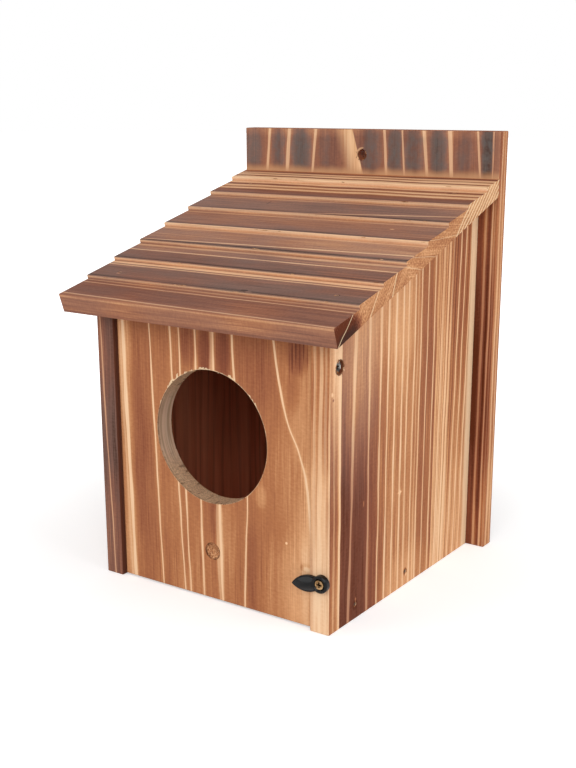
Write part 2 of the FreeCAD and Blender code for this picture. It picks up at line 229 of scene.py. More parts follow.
def shader_group(name, outputs):
    """Makes a shader group of a function: its named arguments are the inputs."""
    def build(fill):
        tree = bpy.data.node_groups.new(name, "ShaderNodeTree")
        labels = list(inspect.signature(fill).parameters)[1:]
        add_sockets(tree, "INPUT", [(socket_name(label), "Float") for label in labels])
        add_sockets(tree, "OUTPUT", outputs)
        w = Wiring(tree)
        given = w.node("NodeGroupInput").outputs
        results = fill(w, *given[:len(labels)])
        w.node("NodeGroupOutput", {label: value for (label, _), value in zip(outputs, results)})
        return tree
    return build


WOOD_OUTPUTS = [("Colour", "Color"), ("Roughness", "Float"), ("Height", "Float")]


# Shared effects

@shader_group("wandering grain", [("Across", "Float")])
def wandering_grain(w, across, along, reach):
    slow = w.noise(across, along, 0.012, 0.016, 1.0, 1.0)
    quick = w.noise(across, along, 0.16, 0.05, 2.0, 1.0)
    sway = w.swing(slow, w.product(reach, 4.0))
    shiver = w.swing(quick, w.product(reach, 1.1))
    return [w.total(across, sway, shiver)]


@shader_group("grain line", [("Pale", "Float"), ("Nearest", "Float")])
def grain_line(w, across, along, pale, nearest, foot, lean, half_width, soft, strength, swell):
    middle = w.calc("MULTIPLY_ADD", along, lean, foot)
    away = w.absolute(w.minus(across, middle))
    gap = w.minus(away, w.product(half_width, swell))
    mark = w.product(w.fade(gap, soft, 0.0), strength)
    return [w.calc("MAXIMUM", pale, mark), w.calc("MINIMUM", nearest, gap)]


@shader_group("burn cloud", [("Level", "Float")])
def burn_cloud(w, level, across, along, middle_across, middle_along, reach_across, reach_along, strength):
    far_across = w.ratio(w.minus(across, middle_across), reach_across)
    far_along = w.ratio(w.minus(along, middle_along), reach_along)
    far = w.calc("MULTIPLY_ADD", far_across, far_across, w.product(far_along, far_along))
    return [w.calc("MULTIPLY_ADD", w.fade(far, 1.0, 0.0), strength, level)]


CHAR_STOPS = [
    (0, "f4c99e"), (0.12, "e8b588"), (0.24, "d9a072"), (0.36, "c58a5e"), (0.48, "b0724a"), (0.6, "9b5f40"),
    (0.74, "844a33"), (0.88, "703e2c"), (1, "5b2a15"),
]
ASH_STOPS = [
    (0, "f2cba6"), (0.24, "d8a883"), (0.48, "a97e68"), (0.6, "926d5e"), (0.74, "795e54"), (0.88, "69544c"),
    (0.95, "5d4b43"), (1, "4a3730"),
]
RAW_STOPS = [(0.0, "de9570"), (0.5, "c97856"), (1.0, "a6593b")]
RING_PERIOD = 8.0


@shader_group("charred tone", WOOD_OUTPUTS)
def charred_tone(w, across, along, level, pale, nearest, grey, streaks):
    blotch = w.noise(across, along, 0.05, 0.016, 3.0, 3.0)
    streak = w.noise(across, along, 0.55, 0.012, 4.0, 3.0)
    fibre = w.noise(across, along, 2.2, 0.045, 5.0, 2.0)
    brushed = w.noise(across, along, 0.4, 0.8, 9.0, 2.0)
    hair = w.noise(across, along, 1.3, 0.018, 10.0, 1.0)
    lengthwise = w.total(
        w.swing(streak, 0.34), w.swing(fibre, 0.2), w.fade(hair, 0.58, 0.72, 0.0, 0.13),
        w.fade(hair, 0.42, 0.28, 0.0, -0.13),
    )
    burn = w.total(
        level, w.swing(blotch, 0.26), w.product(lengthwise, streaks), w.swing(brushed, 0.16),
        w.fade(nearest, 1.8, 0.0, 0.0, -0.1),
    )
    ashen = w.product(grey, w.fade(blotch, 0.32, 0.62, 0.55, 1.0))
    body = w.mix(ashen, w.ramp(burn, CHAR_STOPS), w.ramp(burn, ASH_STOPS))
    light = w.mix(w.fade(level, 0.45, 0.9), tone("f6cea5"), tone("cd9573"))
    light = w.mix(w.fade(fibre, 0.35, 0.7, 0.0, 0.35), light, tone("dcab80"))
    worn = w.product(pale, w.fade(streak, 0.2, 0.5, 0.72, 1.0))
    colour = w.mix(worn, body, light)
    roughness = w.blend(pale, w.fade(fibre, 0.3, 0.7, 0.55, 0.72), 0.5)
    height = w.total(
        w.fade(nearest, 0.9, 0.0, 0.0, 0.12), w.product(fibre, 0.08), w.product(streak, 0.07),
        w.product(brushed, 0.03), w.fade(hair, 0.58, 0.72, 0.0, -0.05),
    )
    return [colour, roughness, height]


@shader_group("raw tone", WOOD_OUTPUTS)
def raw_tone(w, across, along):
    band = w.noise(across, along, 0.14, 0.004, 12.0, 1.0)
    streak = w.noise(across, along, 0.9, 0.02, 13.0, 3.0)
    fibre = w.noise(across, along, 2.6, 0.08, 14.0, 2.0)
    shade = w.total(0.5, w.swing(band, 1.1), w.swing(streak, 0.5), w.swing(fibre, 0.3))
    sway = w.swing(w.noise(across, along, 0.05, 0.004, 27.0, 2.0), 26.0)
    ring_place = w.calc("FRACT", w.ratio(w.total(across, sway), RING_PERIOD))
    ring = w.fade(w.absolute(w.minus(ring_place, 0.5)), 0.26, 0.03)
    depth_of_ring = w.fade(w.noise(across, along, 0.08, 0.01, 36.0, 1.0), 0.35, 0.65, 0.12, 0.42)
    colour = w.mix(w.product(ring, depth_of_ring), w.ramp(shade, RAW_STOPS), tone("6a3320"))
    height = w.total(w.product(streak, 0.05), w.product(fibre, 0.08))
    return [colour, w.fade(fibre, 0.3, 0.7, 0.62, 0.78), height]


@shader_group("sawn end", WOOD_OUTPUTS)
def sawn_end(w, across, along, third, lean, level, hatching):
    ring_place = w.minus(across, w.product(along, lean))
    hatch = w.noise(ring_place, along, 0.95, 0.03, 6.0, 2.0, third)
    pores = w.noise(across, along, 1.0, 0.8, 7.0, 3.0, third)
    patch = w.noise(across, along, 0.08, 0.08, 8.0, 1.0, third)
    burn = w.total(level, w.swing(hatch, hatching), w.swing(pores, 0.8), w.swing(patch, 0.3))
    height = w.total(w.product(hatch, 0.14), w.product(pores, 0.16))
    return [w.ramp(burn, CHAR_STOPS), w.fade(pores, 0.3, 0.7, 0.7, 0.85), height]


@shader_group("torn edge", [("Torn", "Float")])
def torn_edge(w, away, across, along, third, reach):
    """Where a rim's edge is chipped: away is the distance from the rim, reach the longest chip."""
    chips = w.noise(across, along, 0.55, 0.22, 15.0, 3.0, third)
    places = w.noise(across, along, 0.13, 0.13, 24.0, 1.0, third)
    ragged = w.product(w.fade(chips, 0.4, 0.68), w.fade(places, 0.44, 0.6, 0.12, 1.0), reach)
    return [w.fade(w.minus(away, ragged), 0.25, 0.0)]


# Faces of charred board

# In the lists of a face a line or a score is (place across at one end, at the other end, half width,
# strength), a bend (points of (along, across), half width, strength), a level (place across, how far it
# is burnt) and a cloud (place across, place along, reach across, reach along, strength). A strength
# below zero leaves the wood paler.
FAR_OFF = 20.0
LINE_SOFTNESS, SCORE_SOFTNESS = (0.22, 0.45), (0.3, 1.0)


def grain_lines(w, across, share, lines, pale=0.0, nearest=FAR_OFF, softness=LINE_SOFTNESS, swell=1.0):
    """Adds lines to the mark so far, and to the distance from the nearest. Softness is the width of a
    line's faded edge: a fixed width, and a share of its half width."""
    for foot, head, half_width, strength in lines:
        soft = softness[0] + half_width * softness[1]
        pale, nearest = w.use(
            grain_line, across, share, pale, nearest, foot, head - foot, half_width, soft, strength, swell,
        )
    return pale, nearest


def burn_clouds(w, across, along, level, clouds):
    """Adds clouds to the level so far."""
    for cloud in clouds:
        level = w.use(burn_cloud, level, across, along, *cloud)[0]
    return level


def level_across(w, place, levels):
    """How far each place across is burnt, on a smooth curve through the levels."""
    first, last = levels[0][0], levels[-1][0]
    points = [((across - first) / (last - first), burnt) for across, burnt in levels]
    return w.curve(w.ratio(w.minus(place, first), last - first), points)


def charred_face(
    w, across, along, span, lines, levels, clouds=(), bends=(), scores=(), grey=0.0, reach=0.5, streaks=0.9,
):
    """A brushed face. The span is where along the board its lines' two ends are, grey how ashen it is,
    reach how far its grain wanders, and streaks how strongly it is streaked."""
    start, end = span
    place = w.use(wandering_grain, across, along, reach)[0]
    swell = w.fade(w.noise(place, along, 0.06, 0.022, 11.0, 1.0), 0.3, 0.7, 0.55, 1.4)
    share = w.ratio(w.minus(along, start), end - start)
    pale, nearest = grain_lines(w, place, share, lines, swell=swell)
    for points, half_width, strength in bends:
        low = min(place_across for _, place_across in points)
        high = max(place_across for _, place_across in points)
        bend = w.curve(share, [((a - start) / (end - start), (c - low) / (high - low)) for a, c in points])
        bent_line = (low, high, half_width, strength)
        pale, nearest = grain_lines(w, place, bend, [bent_line], pale, nearest, swell=swell)
    level = burn_clouds(w, across, along, level_across(w, place, levels), clouds)
    if scores:
        dark, _ = grain_lines(w, place, share, scores, softness=SCORE_SOFTNESS, swell=swell)
        level = w.total(level, dark)
    return w.use(charred_tone, place, along, level, pale, nearest, grey, streaks)


def new_material(name):
    """A material with its place in millimetres and the way that its surface faces."""
    material = bpy.data.materials.new(name)
    w = fresh_wiring(material)
    where = w.node("ShaderNodeTexCoord")
    scaled = w.node("ShaderNodeVectorMath", {0: where.outputs["Object"], "Scale": 1 / MM}, operation="SCALE")
    place = list(w.node("ShaderNodeSeparateXYZ", {"Vector": scaled.outputs[0]}).outputs)
    facing = list(w.node("ShaderNodeSeparateXYZ", {"Vector": where.outputs["Normal"]}).outputs)
    return material, w, place, facing


def finish_wood(w, colour, roughness, height):
    """The wood's own shader, with its raised grain."""
    relief = w.node("ShaderNodeBump", {"Height": height, "Strength": 0.8, "Distance": MM})
    shader = w.node("ShaderNodeBsdfPrincipled", {
        "Base Color": colour, "Roughness": roughness, "Normal": relief.outputs[0], "Specular IOR Level": 0.1,
    })
    w.node("ShaderNodeOutputMaterial", {"Surface": shader.outputs[0]})


def lay(w, share, under, over):
    """One finish of colour, roughness and height over another, by a share."""
    return [
        w.mix(share, under[0], over[0]),
        w.blend(share, under[1], over[1]),
        w.blend(share, under[2], over[2]),
    ]


def tint(w, share, finish, code):
    """The same finish, its colour taken part of the way to another."""
    return [w.mix(share, finish[0], tone(code)), finish[1], finish[2]]


def faces_along(w, facing, both=True):
    """How far a surface faces along an axis, either way or only forwards."""
    return w.fade(w.absolute(facing) if both else facing, 0.55, 0.8)


def within_sides(w, x):
    return w.fade(w.absolute(x), SIDE_INNER_X + 0.5, SIDE_INNER_X - 0.5)


# The swinging front

DOOR_FACE = dict(
    span=(0, 160), streaks=0.6,
    lines=[
        (-57.4, -61.6, 0.85, 1), (-59.8, -64, 0.4, 0.3), (-36.4, -41.9, 0.3, 0.95),
        (-20.2, -27.5, 0.28, 0.9), (-16.2, -21.2, 0.3, 0.9), (-6.5, -9.9, 0.42, 0.9), (6.9, 2, 0.5, 0.95),
        (6.2, 1.2, 1.4, 0.35),
    ],
    bends=[
        ([(0, 22.2), (40, 23.2), (64, 24.2), (95, 21), (130, 16.6), (160, 14.6)], 0.3, 0.9),
        ([(0, 66), (40, 65.8), (58, 64.6), (78, 62.8), (95, 58), (112, 50.2), (130, 45.4), (153, 41.8),
          (160, 41)], 0.42, 0.95),
    ],
    levels=[
        (-72, 0.46), (-66, 0.46), (-63, 0.38), (-59, 0.36), (-56, 0.46), (-52, 0.56), (-44, 0.55),
        (-38, 0.5), (-33, 0.53), (-26, 0.48), (-18, 0.5), (-10, 0.48), (0, 0.5), (10, 0.46), (20, 0.51),
        (30, 0.51), (40, 0.5), (50, 0.47), (60, 0.42), (72, 0.32),
    ],
    clouds=[
        (-14, 146, 7, 18, 0.2), (-3, 142, 6, 22, 0.3), (9, 143, 7, 22, 0.3), (30, 138, 16, 30, 0.1),
        (57, 148, 9, 14, 0.22), (54, 128, 5, 16, 0.1), (53.4, 146, 0.7, 11, 0.2),
        (55.6, 151, 0.6, 12, 0.24), (58, 148, 0.7, 13, 0.22), (60.4, 152, 0.6, 10, 0.22),
        (51.6, 140, 0.5, 10, 0.14), (62.6, 147, 0.5, 9, 0.16), (60, 108, 9, 34, -0.06),
        (58, 20, 16, 44, -0.14), (63, 60, 8, 40, -0.12), (1, 52, 4, 22, 0.12), (27, 25, 5, 40, 0.08),
        (-52, 90, 8, 70, 0.05), (63, 33, 3.6, 1.8, -0.12), (59.4, 33.6, 1.5, 2.4, 0.18),
        (62.2, 35.4, 4.8, 1.5, 0.08), (49.6, 45, 0.9, 0.9, -0.6), (33, 68, 5, 9, -0.16),
        (66, 18, 9, 50, -0.08), (50, 14, 22, 42, -0.07),
    ],
)
DOOR_EDGE = dict(span=(0, 160), lines=[(4, 6, 0.4, 0.7)], levels=[(0, 0.8), (3, 0.6), (12, 0.5)])


def entrance_wall(w, x, z, depth, facing_z):
    """The entrance's sawn wall: long grain beside, end grain above and below, frayed at the face."""
    long_wall = tint(w, 0.7, w.use(raw_tone, depth, z), "d2bea4")
    ring = w.fade(w.noise(depth, z, 0.75, 0.02, 25.0, 1.0), 0.5, 0.62, 0.0, 0.55)
    long_wall = tint(w, ring, long_wall, "97785c")
    end_wall = w.use(sawn_end, x, depth, z, lean=0.3, level=0.3, hatching=0.75)
    crack = w.fade(w.noise(x, depth, 0.42, 0.07, 16.0, 3.0), 0.57, 0.66, 0.0, 0.8)
    fuzz = w.fade(w.noise(x, depth, 1.1, 1.1, 29.0, 3.0), 0.4, 0.64, 0.0, 0.7)
    end_wall = tint(w, fuzz, tint(w, 0.5, end_wall, "cdb497"), "9d8066")
    end_wall = tint(w, crack, end_wall, "6f4f39")
    wall = lay(w, w.fade(w.absolute(facing_z), 0.3, 0.75), long_wall, end_wall)
    frayed = w.swing(w.noise(x, z, 0.5, 0.5, 30.0, 2.0), 3.0)
    return tint(w, w.fade(w.total(depth, frayed), 1.2, 0.3, 0.0, 0.6), wall, "8f6c4d")


def front_door_wood():
    material, w, (x, y, z), (facing_x, facing_y, facing_z) = new_material("front_door_charred_wood")
    face = charred_face(w, x, z, **DOOR_FACE)
    rise = w.minus(z, ENTRANCE_Z)
    from_rim = w.minus(w.distance(x, rise), ENTRANCE_RADIUS)
    longest_chip = w.fade(rise, 10, 36, 0.3, 1.9)
    chips = w.use(torn_edge, from_rim, x, z, y, reach=longest_chip)[0]
    face = tint(w, w.product(chips, w.fade(rise, -10, 36, 0.45, 0.9)), face, "e9cda6")
    inside = w.use(raw_tone, x, z)
    finish = lay(w, faces_along(w, facing_y, both=False), face, inside)
    depth = w.minus(y, DOOR_FACE_Y)
    finish = lay(w, faces_along(w, facing_x), finish, charred_face(w, depth, z, **DOOR_EDGE))
    end = w.use(sawn_end, x, depth, z, lean=0.5, level=0.5, hatching=0.75)
    finish = lay(w, faces_along(w, facing_z), finish, end)
    in_hole = w.product(w.fade(from_rim, 0.4, 0.1), w.fade(w.absolute(facing_y), 0.8, 0.5))
    finish_wood(w, *lay(w, in_hole, finish, entrance_wall(w, x, z, depth, facing_z)))
    return material


def plug_wood():
    """Torn end grain: stubs of fibre in a dark ring."""
    material, w, (x, y, z), _ = new_material("perch_hole_plug_end_grain")
    rise = w.minus(z, PLUG_Z)
    end = w.use(sawn_end, x, rise, y, lean=0.6, level=0.4, hatching=0.4)
    torn = w.noise(x, rise, 1.05, 1.05, 17.0, 3.0)
    end = tint(w, w.fade(torn, 0.53, 0.64, 0.0, 0.7), end, "643923")
    end = tint(w, w.fade(torn, 0.45, 0.36, 0.0, 0.45), end, "dfb68c")
    # Darker towards the top: painted shade from the hole's upper rim over the sunken plug.
    end = tint(w, w.fade(w.total(rise, w.swing(torn, 5.0)), -1.0, 3.0, 0.0, 0.6), end, "8a5737")
    arcs = w.fade(w.noise(x, rise, 0.28, 0.28, 33.0, 1.0), 0.42, 0.58, 0.25, 0.95)
    from_middle = w.total(w.distance(x, rise), w.swing(torn, 2.4))
    ring = w.product(w.fade(from_middle, PLUG_RADIUS - 1.5, PLUG_RADIUS - 0.5), arcs)
    height = w.calc("MULTIPLY_ADD", torn, -0.7, end[2])
    finish_wood(w, *tint(w, ring, end, "66402a")[:2], height)
    return material


# The sides

RIGHT_OUTER = dict(
    span=(0, 200),
    lines=[
        (9.3, 9.6, 0.5, 0.9), (19, 25, 0.85, 0.65), (38.2, 37.5, 0.6, 0.7), (48.7, 49.4, 0.45, 0.85),
        (56.7, 57.2, 0.45, 0.95), (64.4, 65.3, 0.42, 1), (72.3, 73, 0.38, 0.95), (78.2, 78.7, 0.3, 0.85),
        (84.9, 86.3, 0.36, 0.9), (91.9, 93.5, 0.38, 0.9), (99.3, 101.2, 0.3, 0.85),
        (107.3, 109.2, 0.38, 0.9), (133.4, 139.7, 0.36, 0.9), (140.7, 146, 0.36, 0.9),
        (147.9, 153, 0.42, 0.9), (116, 119.5, 0.3, 0.5), (121.6, 126, 0.35, 0.55), (125.4, 130.6, 0.3, 0.6),
        (4, 3.6, 0.4, 0.3), (89, 89.6, 0.2, 0.4),
    ],
    scores=[
        (110, 111.6, 0.35, 0.22), (113.2, 115.4, 0.15, 0.25), (118.4, 121.6, 0.12, 0.25),
        (123.4, 128, 0.2, 0.3), (114.6, 117.4, 0.12, 0.3), (116.8, 119.4, 0.1, 0.22),
        (120.4, 124.2, 0.15, 0.28), (126, 130.4, 0.12, 0.24), (127.6, 132.2, 0.2, 0.22),
        (130.4, 135.2, 0.35, 0.22), (136.8, 142.6, 0.2, 0.14), (144.4, 149.6, 0.2, 0.14),
    ],
    levels=[
        (0, 0.52), (4, 0.46), (7.4, 0.38), (10, 0.28), (10.8, 0.94), (20, 0.9), (34, 0.86), (38, 0.78),
        (47, 0.68), (49, 0.58), (56, 0.56), (58, 0.46), (64, 0.42), (72, 0.4), (80, 0.4), (85, 0.44),
        (92, 0.48), (95, 0.54), (108, 0.54), (110.5, 0.48), (112.5, 0.2), (120, 0.19), (128, 0.24),
        (130.5, 0.44), (140, 0.46), (150, 0.46), (153.5, 0.3), (154.8, 0.1), (161, 0.12),
    ],
    clouds=[
        (24, 185, 38, 122, -0.54), (28, 10, 12, 50, 0.02), (3, 130, 9, 80, 0.13), (5, 46, 6, 34, 0.16),
        (68, 190, 24, 95, -0.14), (85, -5, 40, 34, -0.16), (101, 110, 14, 80, 0.04),
        (120, 176, 14, 50, 0.14), (136, 8, 26, 90, -0.22), (140, 180, 16, 70, 0.12), (60, 6, 16, 30, -0.05),
        (73, 58.8, 1.6, 1.6, -0.35), (73, 58.8, 3.4, 0.9, -0.28), (73, 58.8, 0.9, 3.6, -0.28),
        (33.6, 63.6, 0.8, 2.4, -0.35), (1.5, 130, 1.2, 1.6, -0.3), (2.6, 127, 0.9, 0.9, 0.4),
        (26, 8.5, 3.2, 3.6, 0.22), (81, 8.5, 2.6, 3, 0.34), (153, 42, 1, 7, -0.15),
        (26.6, 11.2, 1, 1.6, -0.5), (82.4, 6.4, 0.9, 1.3, -0.4),
    ],
)
RIGHT_FRONT = dict(
    span=(0, 160), streaks=0.8,
    lines=[(71.6, 72.4, 0.8, 0.45), (68.6, 68.4, 0.5, 0.35), (75.4, 75, 0.5, 0.3), (77.8, 77.6, 0.4, 0.5)],
    levels=[(65, 0.36), (67.5, 0.24), (70, 0.24), (73.5, 0.18), (76, 0.28), (79, 0.34)],
    clouds=[
        (72, 164, 10, 98, 0.3), (75, 110, 3, 40, 0.12), (67, 80, 3, 90, 0.08), (72, -4, 10, 40, -0.12),
        (69, 60, 1.6, 26, 0.08), (76.5, 66, 1.6, 22, 0.1),
    ],
)
LEFT_OUTER = dict(
    span=(0, 200),
    lines=[
        (12, 10, 0.45, 0.9), (23, 20.5, 0.35, 0.9), (31, 29.5, 0.7, 0.85), (44.5, 44, 0.35, 0.9),
        (52, 52.5, 0.3, 0.9), (60.5, 62, 0.45, 0.95), (67, 69.5, 0.3, 0.85), (77.5, 80, 0.7, 0.9),
        (88, 91, 0.35, 0.9), (96, 99, 0.35, 0.85), (106.5, 109, 0.35, 0.9), (119, 120.5, 1, 0.9),
        (131, 131.5, 0.35, 0.9), (140, 139, 0.45, 0.9), (151, 148.5, 0.35, 0.85),
    ],
    levels=[
        (0, 0.5), (14, 0.56), (28, 0.7), (40, 0.66), (52, 0.48), (68, 0.4), (84, 0.5), (100, 0.66),
        (112, 0.58), (122, 0.34), (136, 0.48), (150, 0.54), (161, 0.44),
    ],
    clouds=[
        (36, 60, 20, 70, 0.18), (100, 120, 18, 70, 0.14), (70, 20, 30, 40, -0.14),
        (140, 180, 18, 50, -0.12), (26, 8.5, 3.2, 3.6, 0.22), (81, 8.5, 2.6, 3, 0.3),
    ],
)
LEFT_FRONT = dict(
    span=(0, 160), grey=0.7, streaks=1.2,
    lines=[(-71, -76.2, 0.26, 0.75)],
    # These levels darken towards the door: char, and painted shade beside the recessed door.
    levels=[(-79, 0.74), (-74, 0.8), (-70, 0.84), (-65, 0.98)],
    clouds=[(-72, 0, 14, 70, -0.1)],
)


def side_wood(name, sign, outer, front, bare_rear, ashen):
    """A side: its sign is the way that its outer face looks along X. A bare rear is left paler by the
    fire, as is the foot of that side's front edge."""
    material, w, (x, y, z), (facing_x, facing_y, facing_z) = new_material(name)
    depth = w.minus(y, SIDE_FRONT_Y)
    grey = w.product(w.fade(depth, 60.0, 34.0), w.fade(z, 50.0, 130.0), ashen)
    outer_face = charred_face(w, depth, z, **outer, grey=grey)
    from_pocket = w.minus(w.from_point(y, z, (PIVOT_Y, PIVOT_Z)), PIVOT_POCKET)
    chips = w.use(torn_edge, from_pocket, depth, z, x, reach=1.8)[0]
    outer_face = tint(w, chips, outer_face, "e9cba4")
    scorch = w.use(torn_edge, from_pocket, z, depth, x, reach=1.5)[0]
    outer_face = tint(w, w.product(scorch, 0.8), outer_face, "5a3020")
    front_face = charred_face(w, x, z, **front)
    if bare_rear:
        uneven = w.total(depth, w.swing(w.noise(depth, z, 0.2, 0.03, 26.0, 2.0), 3.0))
        outer_face = tint(w, w.fade(uneven, 150.8, 154.6, 0.0, 0.62), outer_face, "e8ceab")
        front_face = tint(w, w.fade(z, 105.0, 20.0, 0.0, 0.2), front_face, "f0dcc0")
    inner_face = w.use(raw_tone, depth, z)
    # The front few millimetres of the inner face are painted dark: painted shade in the gap before the recessed
    # door.
    inner_face = tint(w, w.fade(depth, 6.0, 2.0, 0.0, 0.9), inner_face, "40241c")
    finish = lay(w, w.fade(w.product(facing_x, sign), -0.4, 0.4), inner_face, outer_face)
    finish = lay(w, faces_along(w, facing_y), finish, front_face)
    end = w.use(sawn_end, depth, x, z, lean=0.4, level=0.5, hatching=0.75)
    finish = lay(w, faces_along(w, facing_z), finish, end)
    inset = w.minus(SIDE_FACE_X, w.absolute(x))
    in_pocket = w.product(w.fade(from_pocket, 0.3, 0.05), w.fade(inset, 0.15, 0.5), 0.85)
    finish_wood(w, *tint(w, in_pocket, finish, "7c4431"))
    return material


# The wall board

LOWEST_HELD_Z = 224.0
SHEEN_Z, SHEEN_REACH_Z = 238.0, 40.0
CLEAR_FOOT_X, CLEAR_HEAD_X = -1.4, -8.6
ABOVE_ROOF = dict(
    span=(228, 252), reach=0.35, streaks=0.5,
    lines=[
        (-72.8, -71, 0.6, 0.8), (-57.2, -55.6, 0.75, 0.8), (-37.6, -35.6, 0.65, 0.8),
        (15.4, 13.8, 0.5, 0.8), (27.7, 26.1, 0.45, 0.75), (43, 40.8, 0.75, 0.8), (59.3, 57.8, 0.75, 0.8),
        (77.7, 75.7, 0.4, 0.75), (85.6, 85.6, 0.3, 0.8),
    ],
    levels=[
        (-91, 0.66), (-82, 0.7), (-74.5, 0.62), (-70, 0.62), (-65, 0.8), (-59, 0.6), (-54, 0.62),
        (-46, 0.84), (-38.5, 0.62), (-34, 0.64), (-29, 0.72), (-22, 0.69), (-8, 0.65), (-2, 0.71),
        (4, 0.82), (12, 0.66), (16, 0.68), (21, 0.85), (26, 0.68), (29, 0.7), (34, 0.85), (40, 0.62),
        (44.5, 0.64), (50, 0.85), (56, 0.62), (61, 0.64), (68, 0.76), (75, 0.66), (79, 0.82), (83, 0.98),
        (86, 0.78), (88, 0.6), (91, 0.54),
    ],
    clouds=[(-50, 254, 90, 8, -0.16), (60, 254, 60, 8, -0.12)],
)
BACK_SHEENS = [
    (-84, 8, 0.55), (-64.5, 7, 0.75), (-46.5, 9.5, 0.95), (-29, 6, 0.4), (5, 8.5, 0.85), (21, 6, 0.9),
    (34.5, 7.5, 0.75), (51, 7.5, 0.85), (68, 7, 0.5), (82, 5, 1),
]
BESIDE_BOX = dict(
    span=(0, 224), reach=0.3,
    lines=[(82.4, 83.2, 0.5, 0.4), (86.6, 87.2, 0.35, 0.7), (89, 88.6, 0.2, 0.3)],
    levels=[
        (77, 0.64), (79, 0.72), (81.2, 0.68), (82.6, 0.46), (84, 0.58), (85.4, 0.74), (86.6, 0.5),
        (88, 0.54), (91, 0.58),
    ],
    clouds=[(84, 108, 12, 100, 0.31), (84, 0, 12, 60, 0.09), (84, 215, 9, 50, 0.04)],
)
BOARD_REAR = dict(
    span=(0, 252), grey=0.25,
    lines=[
        (-80, -78, 0.5, 0.9), (-66.5, -64, 0.4, 0.9), (-49, -47.5, 0.9, 0.9), (-37, -36, 0.4, 0.85),
        (-21, -20.5, 0.5, 0.9), (-12, -12.5, 0.35, 0.85), (3, 1.5, 1, 0.9), (18.5, 16, 0.4, 0.9),
        (29, 27.5, 0.4, 0.85), (46, 45.5, 0.7, 0.9), (60.5, 62, 0.4, 0.9), (72, 74.5, 0.5, 0.9),
    ],
    levels=[
        (-91, 0.46), (-70, 0.6), (-50, 0.44), (-30, 0.66), (-10, 0.56), (10, 0.42), (34, 0.62), (52, 0.5),
        (70, 0.66), (91, 0.48),
    ],
    clouds=[(-30, 190, 26, 70, 0.14), (40, 60, 30, 80, 0.12), (6, 120, 34, 110, -0.1)],
)
BOARD_EDGE = dict(
    span=(0, 252),
    lines=[(3, 3.6, 0.4, 0.6), (7.4, 7, 0.3, 0.5)],
    levels=[(0, 0.54), (4, 0.42), (10, 0.52)],
    clouds=[(3, 254, 12, 60, 0.16), (8, 120, 8, 90, 0.06)],
)


def face_above_roof(w, x, z):
    """Ashen wood with grey sheens between pale lines, one patch that the fire missed, and a warm foot.
    A sheen is (place across, reach across, strength)."""
    held = w.calc("MAXIMUM", z, LOWEST_HELD_Z)
    uneven = w.total(x, w.swing(w.noise(x, held, 0.09, 0.11, 32.0, 3.0), 7.0))
    sheens = [(middle, SHEEN_Z, reach, SHEEN_REACH_Z, strength) for middle, reach, strength in BACK_SHEENS]
    sheen = burn_clouds(w, uneven, held, 0.0, sheens)
    sheen = w.product(sheen, w.fade(z, 226.5, 232.0), w.fade(z, 254.0, 246.0, 0.4, 1.0))
    face = charred_face(w, x, held, **ABOVE_ROOF, grey=w.fade(sheen, 0.0, 0.6, 0.55, 1.0))
    mottle = w.fade(w.noise(x, z, 0.35, 0.2, 31.0, 4.0), 0.36, 0.66, 0.1, 0.62)
    face = tint(w, w.product(w.fade(sheen, 0.0, 1.0), mottle), face, "67625f")
    foot_z, head_z = ABOVE_ROOF["span"]
    lean = (CLEAR_HEAD_X - CLEAR_FOOT_X) / (head_z - foot_z)
    left_of_edge = w.minus(w.calc("MULTIPLY_ADD", w.minus(held, foot_z), lean, CLEAR_FOOT_X), x)
    clear = w.product(
        w.fade(left_of_edge, -0.3, 0.5), w.fade(left_of_edge, 15.0, 2.0), w.fade(z, 218, 229),
    )
    grain = w.fade(w.noise(x, z, 1.1, 0.02, 18.0, 2.0), 0.35, 0.65)
    face = lay(w, clear, face, [w.mix(grain, tone("efc498"), tone("d39d70")), 0.55, face[2]])
    foot_sway = w.swing(w.noise(x, z, 0.07, 0.02, 34.0, 2.0), 6.0)
    warm_foot = w.product(w.fade(w.total(z, foot_sway), 231.0, 225.0), w.fade(z, 214, 222), 0.9)
    return tint(w, warm_foot, face, "c8976e")


def wall_board_wood():
    """The wall board: ashen above the roof, redder beside the box, unburnt inside it."""
    material, w, (x, y, z), (facing_x, facing_y, facing_z) = new_material("back_board_charred_wood")
    beside = charred_face(w, w.absolute(x), z, **BESIDE_BOX)
    face = lay(w, w.fade(z, 222, 216), face_above_roof(w, x, z), beside)
    from_hole = w.minus(w.from_point(x, z, (HANGING_X, HANGING_Z)), HANGING_RADIUS)
    scorch = w.use(torn_edge, from_hole, x, z, y, reach=1.9)[0]
    face = tint(w, w.product(scorch, 0.85), face, "5d3020")
    up_left = w.minus(w.minus(z, HANGING_Z), w.minus(x, HANGING_X))
    broken = w.product(
        w.fade(up_left, 2.6, 4.4), w.fade(from_hole, 1.7, 0.9), w.fade(scorch, 0.2, 0.0, 0.35, 0.8),
    )
    face = tint(w, broken, face, "d8ab82")
    inside = w.product(within_sides(w, x), w.fade(z, 217.0, 214.0))
    face = lay(w, inside, face, w.use(raw_tone, x, z))
    finish = lay(w, faces_along(w, facing_y, both=False), face, charred_face(w, x, z, **BOARD_REAR))
    depth = w.minus(y, BACK_FACE_Y)
    finish = lay(w, faces_along(w, facing_x), finish, charred_face(w, depth, z, **BOARD_EDGE))
    end = w.use(sawn_end, x, depth, z, lean=0.7, level=0.62, hatching=0.75)
    finish = lay(w, faces_along(w, facing_z), finish, end)
    in_hole = w.product(w.fade(from_hole, 0.3, 0.05), w.fade(w.absolute(facing_y), 0.8, 0.5))
    finish_wood(w, *tint(w, in_hole, finish, "9c5a3a"))
    return material


# The stepped roof

